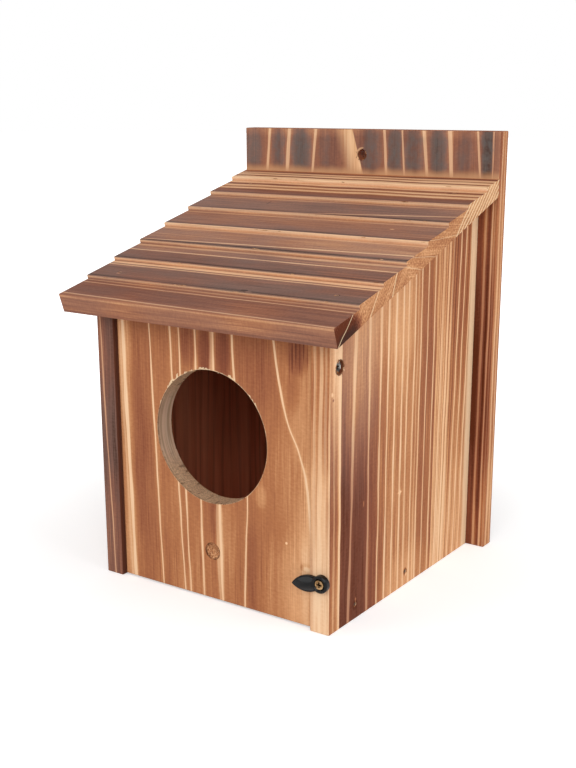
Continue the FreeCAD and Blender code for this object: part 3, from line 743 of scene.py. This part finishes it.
ROOF_SPAN = (-ROOF_HALF_WIDTH, ROOF_HALF_WIDTH)
ROOF_TOP = dict(
    span=ROOF_SPAN, streaks=0.85,
    lines=[
        (3, 0.8, 0.28, 0.7), (20, 19.6, 0.2, 0.8), (23.6, 23.4, 0.4, 0.35), (43.6, 43.4, 0.22, 0.6),
        (46.8, 46.8, 0.9, 0.65), (62.9, 63.2, 0.25, 0.9), (70.6, 70.8, 0.6, 0.4), (74.9, 81.2, 0.28, 0.85),
        (97.4, 97.3, 0.35, 0.7), (95.4, 95.2, 0.5, 0.3), (121.5, 121.4, 0.2, 0.5), (119.6, 119.8, 0.4, 0.3),
        (145.6, 145.7, 0.25, 0.5), (143.4, 143.6, 0.5, 0.3), (155.9, 156.2, 0.7, 0.5),
        (161.3, 161.5, 0.8, 0.55), (167.4, 167.6, 0.8, 0.6), (170.4, 170.4, 0.8, 0.9),
        (172.2, 172.4, 0.5, 0.7), (176.6, 176.4, 0.9, 0.7), (180.6, 180.8, 1, 0.6),
    ],
    bends=[([(-90, 122.4), (0, 122.6), (14, 124.2), (50, 127.4), (90, 131.2)], 0.28, 0.75)],
    scores=[
        (25.6, 25.4, 0.6, 0.17), (49.8, 49.6, 0.6, 0.22), (73.8, 74, 0.6, 0.26), (98.9, 98.7, 0.5, 0.24),
        (122.8, 122.6, 0.6, 0.26), (44.8, 44.6, 0.2, 0.25), (158.4, 159.4, 0.4, 0.22), (164, 165, 0.7, 0.3),
        (147, 147.2, 0.8, 0.12), (174.6, 173.8, 0.5, 0.34), (178.2, 178.9, 0.4, 0.18),
        (182.2, 183.4, 0.7, 0.3), (160.6, 160.2, 0.15, 0.2), (166.2, 167, 0.2, 0.2),
        (180.2, 179.6, 0.15, 0.2),
    ],
    levels=[
        (-1, 0.63), (3, 0.68), (20, 0.7), (23.8, 0.62), (25, 0.78), (28, 0.75), (40, 0.72), (43, 0.58),
        (48, 0.4), (49.2, 0.78), (51.5, 0.74), (60, 0.72), (64, 0.6), (71, 0.56), (72.6, 0.54),
        (73.8, 0.74), (77, 0.62), (84, 0.53), (94, 0.53), (96, 0.46), (98, 0.56), (99.4, 0.68), (103, 0.63),
        (112, 0.62), (119, 0.58), (121.5, 0.56), (122.6, 0.72), (127, 0.64), (143, 0.62), (145.8, 0.7),
        (153.2, 0.75), (155, 0.42), (167, 0.42), (173, 0.4), (176, 0.42), (186, 0.54),
    ],
    clouds=[
        (80, 60, 26, 60, -0.08), (54, -50, 10, 50, 0.06), (137, 20, 10, 60, 0.06), (12, -40, 12, 70, 0.05),
        (26.6, 19.4, 1.3, 2.6, 0.6), (25.4, 22.8, 0.8, 3, -0.35), (33, 72.4, 1.2, 1.4, 0.5),
        (137, -39, 4, 0.9, 0.16), (164, 71, 1.6, 5, 0.25), (31, -72, 0.9, 2, -0.3), (112, 60, 1, 2, -0.3),
    ],
)
ROOF_UNDER = dict(span=ROOF_SPAN, lines=[], levels=[(-1, 0.55), (60, 0.48), (120, 0.58), (186, 0.5)])
STEP_LEVELS = [
    (-10, 0.37), (12, 0.37), (24.2, 0.36), (36, 0.3), (48.4, 0.22), (60, 0.28), (72.6, 0.28), (84, 0.22),
    (96.8, 0.1), (109, 0.22), (121, 0.26), (133, 0.24), (145.2, 0.18), (157, 0.16), (169.4, 0.08),
    (190, 0.3),
]
ROOF_END_LINES = [
    (0.6, 20.5, 0.28, 0.85), (31.8, 45.6, 0.28, 0.8), (54.6, 63.2, 0.28, 0.8), (86.0, 68.4, 0.22, 0.45),
    (102.6, 77.5, 0.25, 0.45), (131.0, 98.0, 0.28, 0.45),
] + [(128.0 + 5.6 * step, 150.0 + 5.6 * step, 0.9, 0.8) for step in range(10)]
ROOF_END_SOFTNESS = (0.4, 0.0)
BURNT_TOE = [(6.0, 3.0, 21.0, 12.0, 0.85)]


def roof_top(w, x, up_slope):
    """The slats' upper faces: ashen, but straw-coloured at the rear."""
    pale_rear = w.fade(up_slope, 146.0, 156.0)
    grey = w.total(0.9, w.product(pale_rear, -0.7), w.fade(up_slope, 26.0, 20.0, 0.0, -0.45))
    reach = w.fade(pale_rear, 0.0, 1.0, 0.2, 0.9)
    return charred_face(w, up_slope, x, **ROOF_TOP, grey=grey, reach=reach)


def roof_step(w, x, up_slope, off_slope):
    """The steps' front faces, paler along the upper edge: worn there, with a painted highlight on that edge."""
    level = w.total(
        level_across(w, w.total(up_slope, w.product(off_slope, -0.02)), STEP_LEVELS),
        w.fade(off_slope, 10.0, 8.8, 0.0, 0.18), w.fade(off_slope, 3.0, 0.5, 0.0, 0.12),
    )
    grained = w.use(wandering_grain, off_slope, x, reach=0.4)[0]
    # The arris and the tint below both brighten the step's upper edge: wear, and a painted highlight.
    arris = w.product(w.fade(off_slope, 9.8, 10.6, 0.0, 0.45), w.fade(up_slope, 8.0, 16.0))
    grey = w.fade(up_slope, 8.0, 20.0, 0.55, 0.9)
    step = w.use(charred_tone, grained, x, level, arris, FAR_OFF, grey=grey, streaks=0.9)
    bright_edge = w.product(w.fade(off_slope, 9.5, 10.5, 0.0, 0.45), w.fade(up_slope, 8.0, 30.0))
    return tint(w, bright_edge, step, "e9c7a2")


def roof_under(w, x, up_slope):
    inside = w.product(within_sides(w, x), w.fade(up_slope, 14.0, 18.0))
    charred = charred_face(w, up_slope, x, **ROOF_UNDER)
    return lay(w, inside, charred, w.use(raw_tone, up_slope, x))


def roof_end(w, x, up_slope, off_slope):
    """The staves' sawn ends: rings that lean another way in each stave, and a burnt toe."""
    first_seam, second_seam = (SLAT_PITCH * STAVE_SLATS * staves for staves in (1, 2))
    past_first = w.fade(up_slope, first_seam - 0.1, first_seam + 0.1)
    rear_stave = w.fade(up_slope, second_seam - 0.1, second_seam + 0.1)
    middle_stave = w.product(past_first, w.fade(up_slope, second_seam + 0.1, second_seam - 0.1))
    lean = w.total(1.5, w.product(middle_stave, -3.8), w.product(rear_stave, 0.5))
    burnt_toe = burn_clouds(w, up_slope, off_slope, 0.41, BURNT_TOE)
    end = w.use(
        sawn_end, up_slope, off_slope, x, lean=lean,
        level=w.total(burnt_toe, w.product(rear_stave, -0.06)),
        hatching=w.fade(rear_stave, 0.0, 1.0, 0.8, 0.15),
    )
    end = tint(w, w.fade(burnt_toe, 0.8, 0.45, 0.0, 0.12), end, "bf9a74")
    sooty = w.total(off_slope, w.swing(w.noise(up_slope, off_slope, 0.5, 0.5, 35.0, 3.0), 5.0))
    charcoal = w.product(
        w.fade(sooty, 6.5, 2.0, 0.0, 0.8), w.fade(up_slope, 1.0, 5.0, 0.4, 1.0), w.fade(up_slope, 24.0, 14.0),
    )
    end = tint(w, charcoal, end, "33201a")
    waver = w.swing(w.noise(x, up_slope, 0.1, 0.1, 28.0, 1.0), 0.16)
    share = w.total(w.ratio(off_slope, ROOF_THICKNESS), waver)
    pale, _ = grain_lines(w, up_slope, share, ROOF_END_LINES, softness=ROOF_END_SOFTNESS)
    return tint(w, w.product(pale, 0.9), end, "f0d3ab")


def roof_wood():
    material, w, (x, y, z), (facing_x, facing_y, facing_z) = new_material("roof_charred_wood")
    back, rise = w.minus(y, ROOF_FRONT_Y), w.minus(z, ROOF_FRONT_Z)
    up_slope = w.calc("MULTIPLY_ADD", back, ROOF_COS, w.product(rise, ROOF_SIN))
    off_slope = w.calc("MULTIPLY_ADD", rise, ROOF_COS, w.product(back, -ROOF_SIN))
    facing_up = w.calc("MULTIPLY_ADD", facing_z, ROOF_COS, w.product(facing_y, -ROOF_SIN))
    step, top = roof_step(w, x, up_slope, off_slope), roof_top(w, x, up_slope)
    finish = lay(w, w.fade(facing_up, 0.4, 0.8), step, top)
    finish = lay(w, w.fade(facing_up, -0.4, -0.8), finish, roof_under(w, x, up_slope))
    finish = lay(w, faces_along(w, facing_x), finish, roof_end(w, x, up_slope, off_slope))
    finish_wood(w, *finish)
    return material


# The floor

FLOOR_BELOW = dict(
    span=(-SIDE_INNER_X, SIDE_INNER_X),
    lines=[(-40, -37, 0.4, 0.8), (-12, -15, 0.5, 0.8), (21, 22, 0.4, 0.8), (52, 50, 0.4, 0.8)],
    levels=[(-62, 0.42), (-20, 0.5), (20, 0.4), (83, 0.48)],
)


def floor_wood():
    material, w, (x, y, z), (facing_x, _, facing_z) = new_material("floor_raw_wood")
    finish = w.use(raw_tone, y, x)
    finish = lay(w, w.fade(facing_z, -0.5, -0.8), finish, charred_face(w, y, x, **FLOOR_BELOW))
    end = w.use(sawn_end, y, z, x, lean=0.5, level=0.4, hatching=0.75)
    finish_wood(w, *lay(w, faces_along(w, facing_x), finish, end))
    return material


# Metal and paint

@shader_group("handled metal", [("Wear", "Float"), ("Stain", "Float"), ("Height", "Float")])
def handled_metal(w, across, along, third):
    """Fine scratches, which on the pivot screws lay out painted glints, a slow change of polish and stain, and a
    light orange-peel relief.
    """
    wear = w.noise(across, along, 1.4, 0.25, 19.0, 4.0, third)
    stain = w.noise(across, along, 0.6, 0.6, 20.0, 3.0, third)
    peel = w.noise(across, along, 3.5, 3.5, 21.0, 2.0, third)
    return [wear, stain, peel]


def metal_finish(
    name, bright, dull, stained, polish, metallic, specular=0.5, relief=0.03, worn=(0.35, 0.65), recess=None,
):
    """A worn metal or paint: a bright and a dull tone, a stain, and the range of its roughness. A recess
    says where a screw head's cross is painted dark, as painted shade, as a function of the place."""
    material, w, (x, y, z), _ = new_material(name)
    wear, stain, peel = w.use(handled_metal, x, z, y)
    # On the pivot screws this bright and dull patchwork is painted glints and reflections on the head.
    colour = w.mix(w.fade(wear, *worn), tone(dull), tone(bright))
    colour = w.mix(w.fade(stain, 0.5, 0.66, 0.0, 0.8), colour, tone(stained))
    if recess:
        # Painted shade in the screw head's cross recess.
        colour = w.mix(recess(w, x, y, z), colour, tone("21100a"))
    bump = w.node("ShaderNodeBump", {"Height": peel, "Strength": 0.5, "Distance": relief * MM})
    shader = w.node("ShaderNodeBsdfPrincipled", {
        "Base Color": colour, "Roughness": w.fade(wear, 0.3, 0.7, *polish), "Metallic": metallic,
        "Specular IOR Level": specular, "Normal": bump.outputs[0],
    })
    w.node("ShaderNodeOutputMaterial", {"Surface": shader.outputs[0]})
    return material


# Where the pivot screw's cross recess is painted dark as shade.
def pivot_cross(w, x, y, z):
    near = w.fade(w.from_point(y, z, (PIVOT_Y, PIVOT_Z)), 2.1, 1.8)
    return w.product(w.fade(w.absolute(x), PIVOT_HEAD_X - 0.2, PIVOT_HEAD_X - 0.6), near)


# Where the button screw's cross recess is painted dark as shade.
def button_screw_cross(w, x, y, z):
    near = w.fade(w.from_point(x, z, (BUTTON_X, BUTTON_Z)), 2.0, 1.7)
    return w.product(w.fade(y, BUTTON_SCREW_Y + 0.1, BUTTON_SCREW_Y + 0.4), near)


# Finishes on the solids

def dress(material, *nodes):
    for name in nodes:
        for slot in frame["nodes"][name].material_slots:
            slot.material = material


RIGHT_SIDE_WOOD = side_wood(
    "right_side_charred_wood", 1.0, RIGHT_OUTER, RIGHT_FRONT, bare_rear=True, ashen=0.55,
)
LEFT_SIDE_WOOD = side_wood(
    "left_side_charred_wood", -1.0, LEFT_OUTER, LEFT_FRONT, bare_rear=False, ashen=0.2,
)
ZINC_STEEL = metal_finish("dull_zinc_steel", "a8a49c", "6f6a63", "5a4a3c", (0.28, 0.5), 1.0)
# Pivot screw heads: the near-white and dark patches, placed by the wear range, are painted glints and reflections;
# the low metallic keeps them bright.
PIVOT_STEEL = metal_finish(
    "dull_pivot_steel", "f0ece4", "3b342d", "1c1410", (0.3, 0.5), 0.3, worn=(0.5, 0.6), recess=pivot_cross,
)
BRAD_STEEL = metal_finish("dark_brad_steel", "6e4f3c", "4a3022", "38231a", (0.6, 0.85), 0.15)
BLACK_PAINT = metal_finish(
    "satin_black_paint", "090a0b", "040405", "0e0f10", (0.14, 0.26), 0.0, specular=0.2, relief=0.08,
)
ANTIQUE_BRASS = metal_finish(
    "worn_antique_brass", "bf9d72", "846440", "4c3824", (0.3, 0.5), 1.0, recess=button_screw_cross,
)

dress(front_door_wood(), "front_door")
dress(plug_wood(), "perch_hole_plug")
dress(RIGHT_SIDE_WOOD, "right_side")
dress(LEFT_SIDE_WOOD, "left_side")
dress(wall_board_wood(), "back_board")
dress(roof_wood(), "roof_front_stave", "roof_middle_stave", "roof_rear_stave")
dress(floor_wood(), "floor")
dress(ZINC_STEEL, "left_back_screws", "right_back_screws")
dress(PIVOT_STEEL, "left_pivot_screw", "right_pivot_screw")
dress(BRAD_STEEL, "left_floor_brads", "right_floor_brads", "rear_floor_brads")
dress(BRAD_STEEL, "left_roof_brads", "right_roof_brads")
dress(BLACK_PAINT, "turn_button")
dress(ANTIQUE_BRASS, "turn_button_screw")


# Torn fibres, where the wood broke at holes and along the roof's steps

FIBRE_SIZES = [
    ("Spacing", MM), ("Share", 1.0), ("Half length", MM), ("Thickness", MM), ("Scatter", MM), ("Tilt", 1.0),
]


def torn_fibre_tree():
    """Splinters along the edges of a mesh, laid with the grain, each of a chance size and tilt."""
    tree = bpy.data.node_groups.new("torn fibres", "GeometryNodeTree")
    add_sockets(tree, "INPUT", [("Geometry", "Geometry")])
    add_sockets(tree, "INPUT", [(label, "Float") for label, _ in FIBRE_SIZES])
    add_sockets(tree, "INPUT", [("Grain", "Vector"), ("Seed", "Int"), ("Wood", "Material")])
    add_sockets(tree, "OUTPUT", [("Geometry", "Geometry")])
    w = Wiring(tree)
    given = w.node("NodeGroupInput").outputs

    def triple(x, y, z):
        return w.node("ShaderNodeCombineXYZ", {"X": x, "Y": y, "Z": z}).outputs[0]

    def live(sockets):
        return [socket for socket in sockets if socket.enabled]

    def chance(kind, low, high, turn):
        draw = w.node("FunctionNodeRandomValue", data_type=kind)
        for socket, value in zip(live(draw.inputs), (low, high)):
            w.feed(socket, value)
        w.feed(draw.inputs["Seed"], w.total(given["Seed"], turn))
        return live(draw.outputs)[0]

    def either_way(reach, turn):
        back = w.product(reach, -1.0)
        return chance("FLOAT_VECTOR", triple(back, back, back), triple(reach, reach, reach), turn)

    def between(size, least, most, turn):
        return chance("FLOAT", w.product(size, least), w.product(size, most), turn)

    rim = w.node("GeometryNodeMeshToCurve", {"Mesh": given["Geometry"]}).outputs[0]
    places = w.node("GeometryNodeResampleCurve", {"Curve": rim, "Length": given["Spacing"]}, mode="LENGTH")
    spots = w.node("GeometryNodeCurveToPoints", {"Curve": places.outputs[0]}, mode="EVALUATED")
    feeds = {"Probability": given["Share"], "Seed": given["Seed"]}
    kept = w.node("FunctionNodeRandomValue", feeds, data_type="BOOLEAN")
    moved = w.node("GeometryNodeSetPosition", {
        "Geometry": spots.outputs["Points"], "Offset": either_way(given["Scatter"], 1.0),
    })
    splinter = w.node("GeometryNodeMeshIcoSphere", {"Radius": 1.0, "Subdivisions": 1})
    laid = w.node("FunctionNodeAlignRotationToVector", {"Vector": given["Grain"]}, axis="Z")
    lean = w.node("FunctionNodeEulerToRotation", {"Euler": either_way(given["Tilt"], 2.0)})
    turned = w.node("FunctionNodeRotateRotation", {"Rotation": laid.outputs[0], "Rotate By": lean.outputs[0]})
    scattered = w.node("GeometryNodeInstanceOnPoints", {
        "Points": moved.outputs[0], "Selection": live(kept.outputs)[0], "Instance": splinter.outputs[0],
        "Rotation": turned.outputs[0],
        "Scale": triple(
            between(given["Thickness"], 0.45, 1.0, 3.0), between(given["Thickness"], 0.8, 2.2, 4.0),
            between(given["Half length"], 0.3, 1.0, 5.0),
        ),
    })
    whole = w.node("GeometryNodeRealizeInstances", {"Geometry": scattered.outputs[0]})
    dressed = w.node("GeometryNodeSetMaterial", {"Geometry": whole.outputs[0], "Material": given["Wood"]})
    w.node("NodeGroupOutput", {"Geometry": dressed.outputs[0]})
    return tree


def torn_wood(name, stops):
    """Loose fibres and chips: raw wood, paler where it broke last."""
    material, w, (x, y, z), _ = new_material(name)
    patch = w.noise(x, z, 0.35, 0.35, 22.0, 2.0, y)
    fibre = w.noise(x, z, 2.0, 2.0, 23.0, 2.0, y)
    colour = w.ramp(w.total(patch, w.swing(fibre, 0.3)), stops)
    finish_wood(w, colour, w.fade(fibre, 0.3, 0.7, 0.65, 0.8), w.product(fibre, 0.1))
    return material


TORN_FIBRES = torn_fibre_tree()
PALE_FIBRE = torn_wood("pale_fibre_wood", [(0.32, "f0d9b8"), (0.5, "d9b288"), (0.66, "9c6843")])
TAN_FIBRE = torn_wood("tan_fibre_wood", [(0.32, "dfb48a"), (0.5, "b98459"), (0.66, "6e4128")])
BURNT_FIBRE = torn_wood("burnt_fibre_wood", [(0.32, "c08f63"), (0.48, "8a5636"), (0.66, "4a2a1b")])
ACROSS, INWARDS, UP = Vector((1.0, 0.0, 0.0)), Vector((0.0, 1.0, 0.0)), Vector((0.0, 0.0, 1.0))
BOTH_SIDES = (-SIDE_FACE_X, SIDE_FACE_X)
STEP_HALF_WIDTH, STEP_INSET, STEP_DROP = 86.0, 0.3, 0.15
REAR_FIBRE_INSET = 1.6


def round_rim(middle, radius, flat_axis, start=0.0, end=360.0, steps=72):
    """Points in metres on an upright arc, from sizes in millimetres and degrees."""
    points = []
    for step in range(steps + 1):
        angle = math.radians(start + (end - start) * step / steps)
        points.append((Vector(middle) + (flat_axis * math.cos(angle) + UP * math.sin(angle)) * radius) * MM)
    return points


def entrance_rim(y, start, end):
    return round_rim((0, y, ENTRANCE_Z), ENTRANCE_RADIUS, ACROSS, start, end)


def step_edge(slat):
    """The upper edge of a step of the roof, in metres."""
    up_slope, off_slope = SLAT_PITCH * slat + STEP_INSET, ROOF_THICKNESS - STEP_DROP
    y = ROOF_FRONT_Y + up_slope * ROOF_COS - off_slope * ROOF_SIN
    z = ROOF_FRONT_Z + up_slope * ROOF_SIN + off_slope * ROOF_COS
    return [Vector((x, y, z)) * MM for x in (-STEP_HALF_WIDTH, STEP_HALF_WIDTH)]


def torn_piece(name, body, wood, rims, sizes, grain, seed, slot="charred_wood"):
    """Makes one piece of splinters along the given rims, as a plain mesh that rides on a body. The sizes
    are those of FIBRE_SIZES, in millimetres, shares and radians."""
    corners, edges = [], []
    for rim in rims:
        first = len(corners)
        corners += rim
        edges += [(first + step, first + step + 1) for step in range(len(rim) - 1)]
    mesh = bpy.data.meshes.new(f"{name}_rims")
    mesh.from_pydata(corners, edges, [])
    carrier = bpy.data.objects.new(f"{name}_rims", mesh)
    bpy.context.scene.collection.objects.link(carrier)
    modifier = carrier.modifiers.new("torn_fibres", "NODES")
    modifier.node_group = TORN_FIBRES
    values = {label: size * unit for (label, unit), size in zip(FIBRE_SIZES, sizes)}
    values |= {"Grain": grain, "Seed": seed, "Wood": wood}
    for socket in TORN_FIBRES.interface.items_tree:
        if socket.in_out == "INPUT" and socket.name in values:
            modifier[socket.identifier] = values[socket.name]
    made = carrier.evaluated_get(bpy.context.evaluated_depsgraph_get())
    piece = bpy.data.objects.new(name, bpy.data.meshes.new_from_object(made))
    bpy.context.scene.collection.objects.link(piece)
    bpy.data.objects.remove(carrier)
    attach(piece, body)


torn_piece(
    "entrance_top_fibres", "front_door", PALE_FIBRE, [entrance_rim(DOOR_FACE_Y, 62, 122)],
    (0.8, 0.32, 0.9, 0.24, 0.3, 0.7), UP, 3,
)
torn_piece(
    "entrance_fibres", "front_door", BURNT_FIBRE,
    [entrance_rim(DOOR_FACE_Y, 122, 422), entrance_rim(DOOR_REAR_Y, 0, 360)],
    (1.0, 0.3, 0.6, 0.16, 0.25, 0.8), UP, 5,
)
torn_piece(
    "plug_fibres", "front_door", TAN_FIBRE,
    [round_rim((0, PLUG_FACE_Y, PLUG_Z), radius, ACROSS) for radius in (1.0, 2.1, 3.2, 4.2)],
    (0.7, 0.3, 0.6, 0.2, 0.25, 0.9), -INWARDS, 8, slot="plug_end_grain",
)
torn_piece(
    "pivot_pocket_fibres", "nest_box", BURNT_FIBRE,
    [round_rim((x, PIVOT_Y, PIVOT_Z), PIVOT_POCKET, INWARDS) for x in BOTH_SIDES],
    (0.6, 0.6, 1.3, 0.26, 0.5, 0.5), UP, 11,
)
torn_piece(
    "hanging_hole_fibres", "nest_box", BURNT_FIBRE,
    [round_rim((HANGING_X, y, HANGING_Z), HANGING_RADIUS, ACROSS)
     for y in (BACK_FACE_Y, BACK_REAR_Y - REAR_FIBRE_INSET)],
    (0.5, 0.4, 1.1, 0.2, 0.35, 0.9), UP, 14,
)
torn_piece(
    "roof_step_fibres", "nest_box", TAN_FIBRE, [step_edge(slat) for slat in range(1, SLATS)],
    (5.0, 0.14, 3.6, 0.24, 0.3, 0.1), ACROSS, 17,
)
torn_piece(
    "floor_brad_fibres", "nest_box", BURNT_FIBRE,
    [round_rim((x, SIDE_FRONT_Y + depth, z), FLOOR_BRAD_RADIUS, INWARDS, steps=24)
     for x in BOTH_SIDES for depth, z in FLOOR_BRADS],
    (0.6, 0.5, 0.7, 0.16, 0.3, 0.6), UP, 21,
)


# Camera and light, in metres and degrees

CAMERA_PLACE = (0.3809, -0.5563, 0.2759)
CAMERA_AZIMUTH, CAMERA_ELEVATION, CAMERA_ROLL = 35.51, 15.3, -0.41
CAMERA_LENS, CAMERA_SHIFT = 55.47, (0.0286, 0.039)
LIGHT_AIM, LIGHT_SIZE = (0.0, 0.0, 0.11), 1.0
LIGHTS = [
    ("key_light", (0.55, -1.1, 0.9), 9.0),
    ("side_light", (1.3, 0.0, 0.6), 7.2),
    ("fill_light", (-0.9, -1.0, 0.5), 4.8),
]
SURROUND_LIGHT = 0.45
WHITE = (1.0, 1.0, 1.0, 1.0)


def photograph_camera():
    camera = bpy.data.objects.new("photograph_camera", bpy.data.cameras.new("photograph_camera"))
    bpy.context.scene.collection.objects.link(camera)
    place = Matrix.Translation(CAMERA_PLACE)
    for angle, axis in ((CAMERA_AZIMUTH, "Z"), (90.0 - CAMERA_ELEVATION, "X"), (CAMERA_ROLL, "Z")):
        place = place @ Matrix.Rotation(math.radians(angle), 4, axis)
    camera.matrix_world = place
    camera.data.lens = CAMERA_LENS
    camera.data.shift_x, camera.data.shift_y = CAMERA_SHIFT
    camera.data.clip_start = 0.01
    bpy.context.scene.camera = camera


def soft_light(name, place, power):
    lamp = bpy.data.lights.new(name, "AREA")
    lamp.size = LIGHT_SIZE
    lamp.energy = power
    light = bpy.data.objects.new(name, lamp)
    bpy.context.scene.collection.objects.link(light)
    aim = Vector(LIGHT_AIM) - Vector(place)
    light.matrix_world = Matrix.Translation(place) @ aim.to_track_quat("-Z", "Y").to_matrix().to_4x4()


def camera_share(w):
    """One for rays that should see a white surround: the camera's, and those mirrored or let through."""
    path = w.node("ShaderNodeLightPath").outputs
    seen = w.calc("MAXIMUM", path["Is Camera Ray"], path["Is Glossy Ray"])
    return w.calc("MAXIMUM", seen, path["Is Transmission Ray"])


def white_surround():
    world = bpy.data.worlds.new("white_surround")
    bpy.context.scene.world = world
    w = fresh_wiring(world)
    strength = w.blend(camera_share(w), SURROUND_LIGHT, 1.0)
    sky = w.node("ShaderNodeBackground", {"Color": WHITE, "Strength": strength})
    w.node("ShaderNodeOutputWorld", {"Surface": sky.outputs[0]})


def studio_floor():
    """A pale floor that keeps the shadow and turns white away from the box."""
    bpy.ops.mesh.primitive_plane_add(size=12.0)
    floor = bpy.context.object
    floor.name = "studio_floor"
    pale = bpy.data.materials.new("pale_floor")
    w = fresh_wiring(pale)
    matt = w.node("ShaderNodeBsdfDiffuse", {"Color": (0.8, 0.8, 0.8, 1.0)})
    where = w.node("ShaderNodeTexCoord").outputs["Object"]
    away = w.node("ShaderNodeVectorMath", {0: where}, operation="LENGTH")
    lift = w.fade(away.outputs["Value"], 0.1, 0.5, 0.4, 1.0)
    glow = w.node("ShaderNodeEmission", {"Color": WHITE, "Strength": w.product(camera_share(w), lift)})
    both = w.node("ShaderNodeAddShader", {0: matt.outputs[0], 1: glow.outputs[0]})
    w.node("ShaderNodeOutputMaterial", {"Surface": both.outputs[0]})
    floor.data.materials.append(pale)
    floor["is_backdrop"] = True


photograph_camera()
white_surround()
for light_name, light_place, light_power in LIGHTS:
    soft_light(light_name, light_place, light_power)
studio_floor()
bpy.context.scene.view_settings.view_transform = "Standard"

sizes = {"cad": [list(corner) for corner in cad_box], "visual": [list(corner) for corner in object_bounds()]}
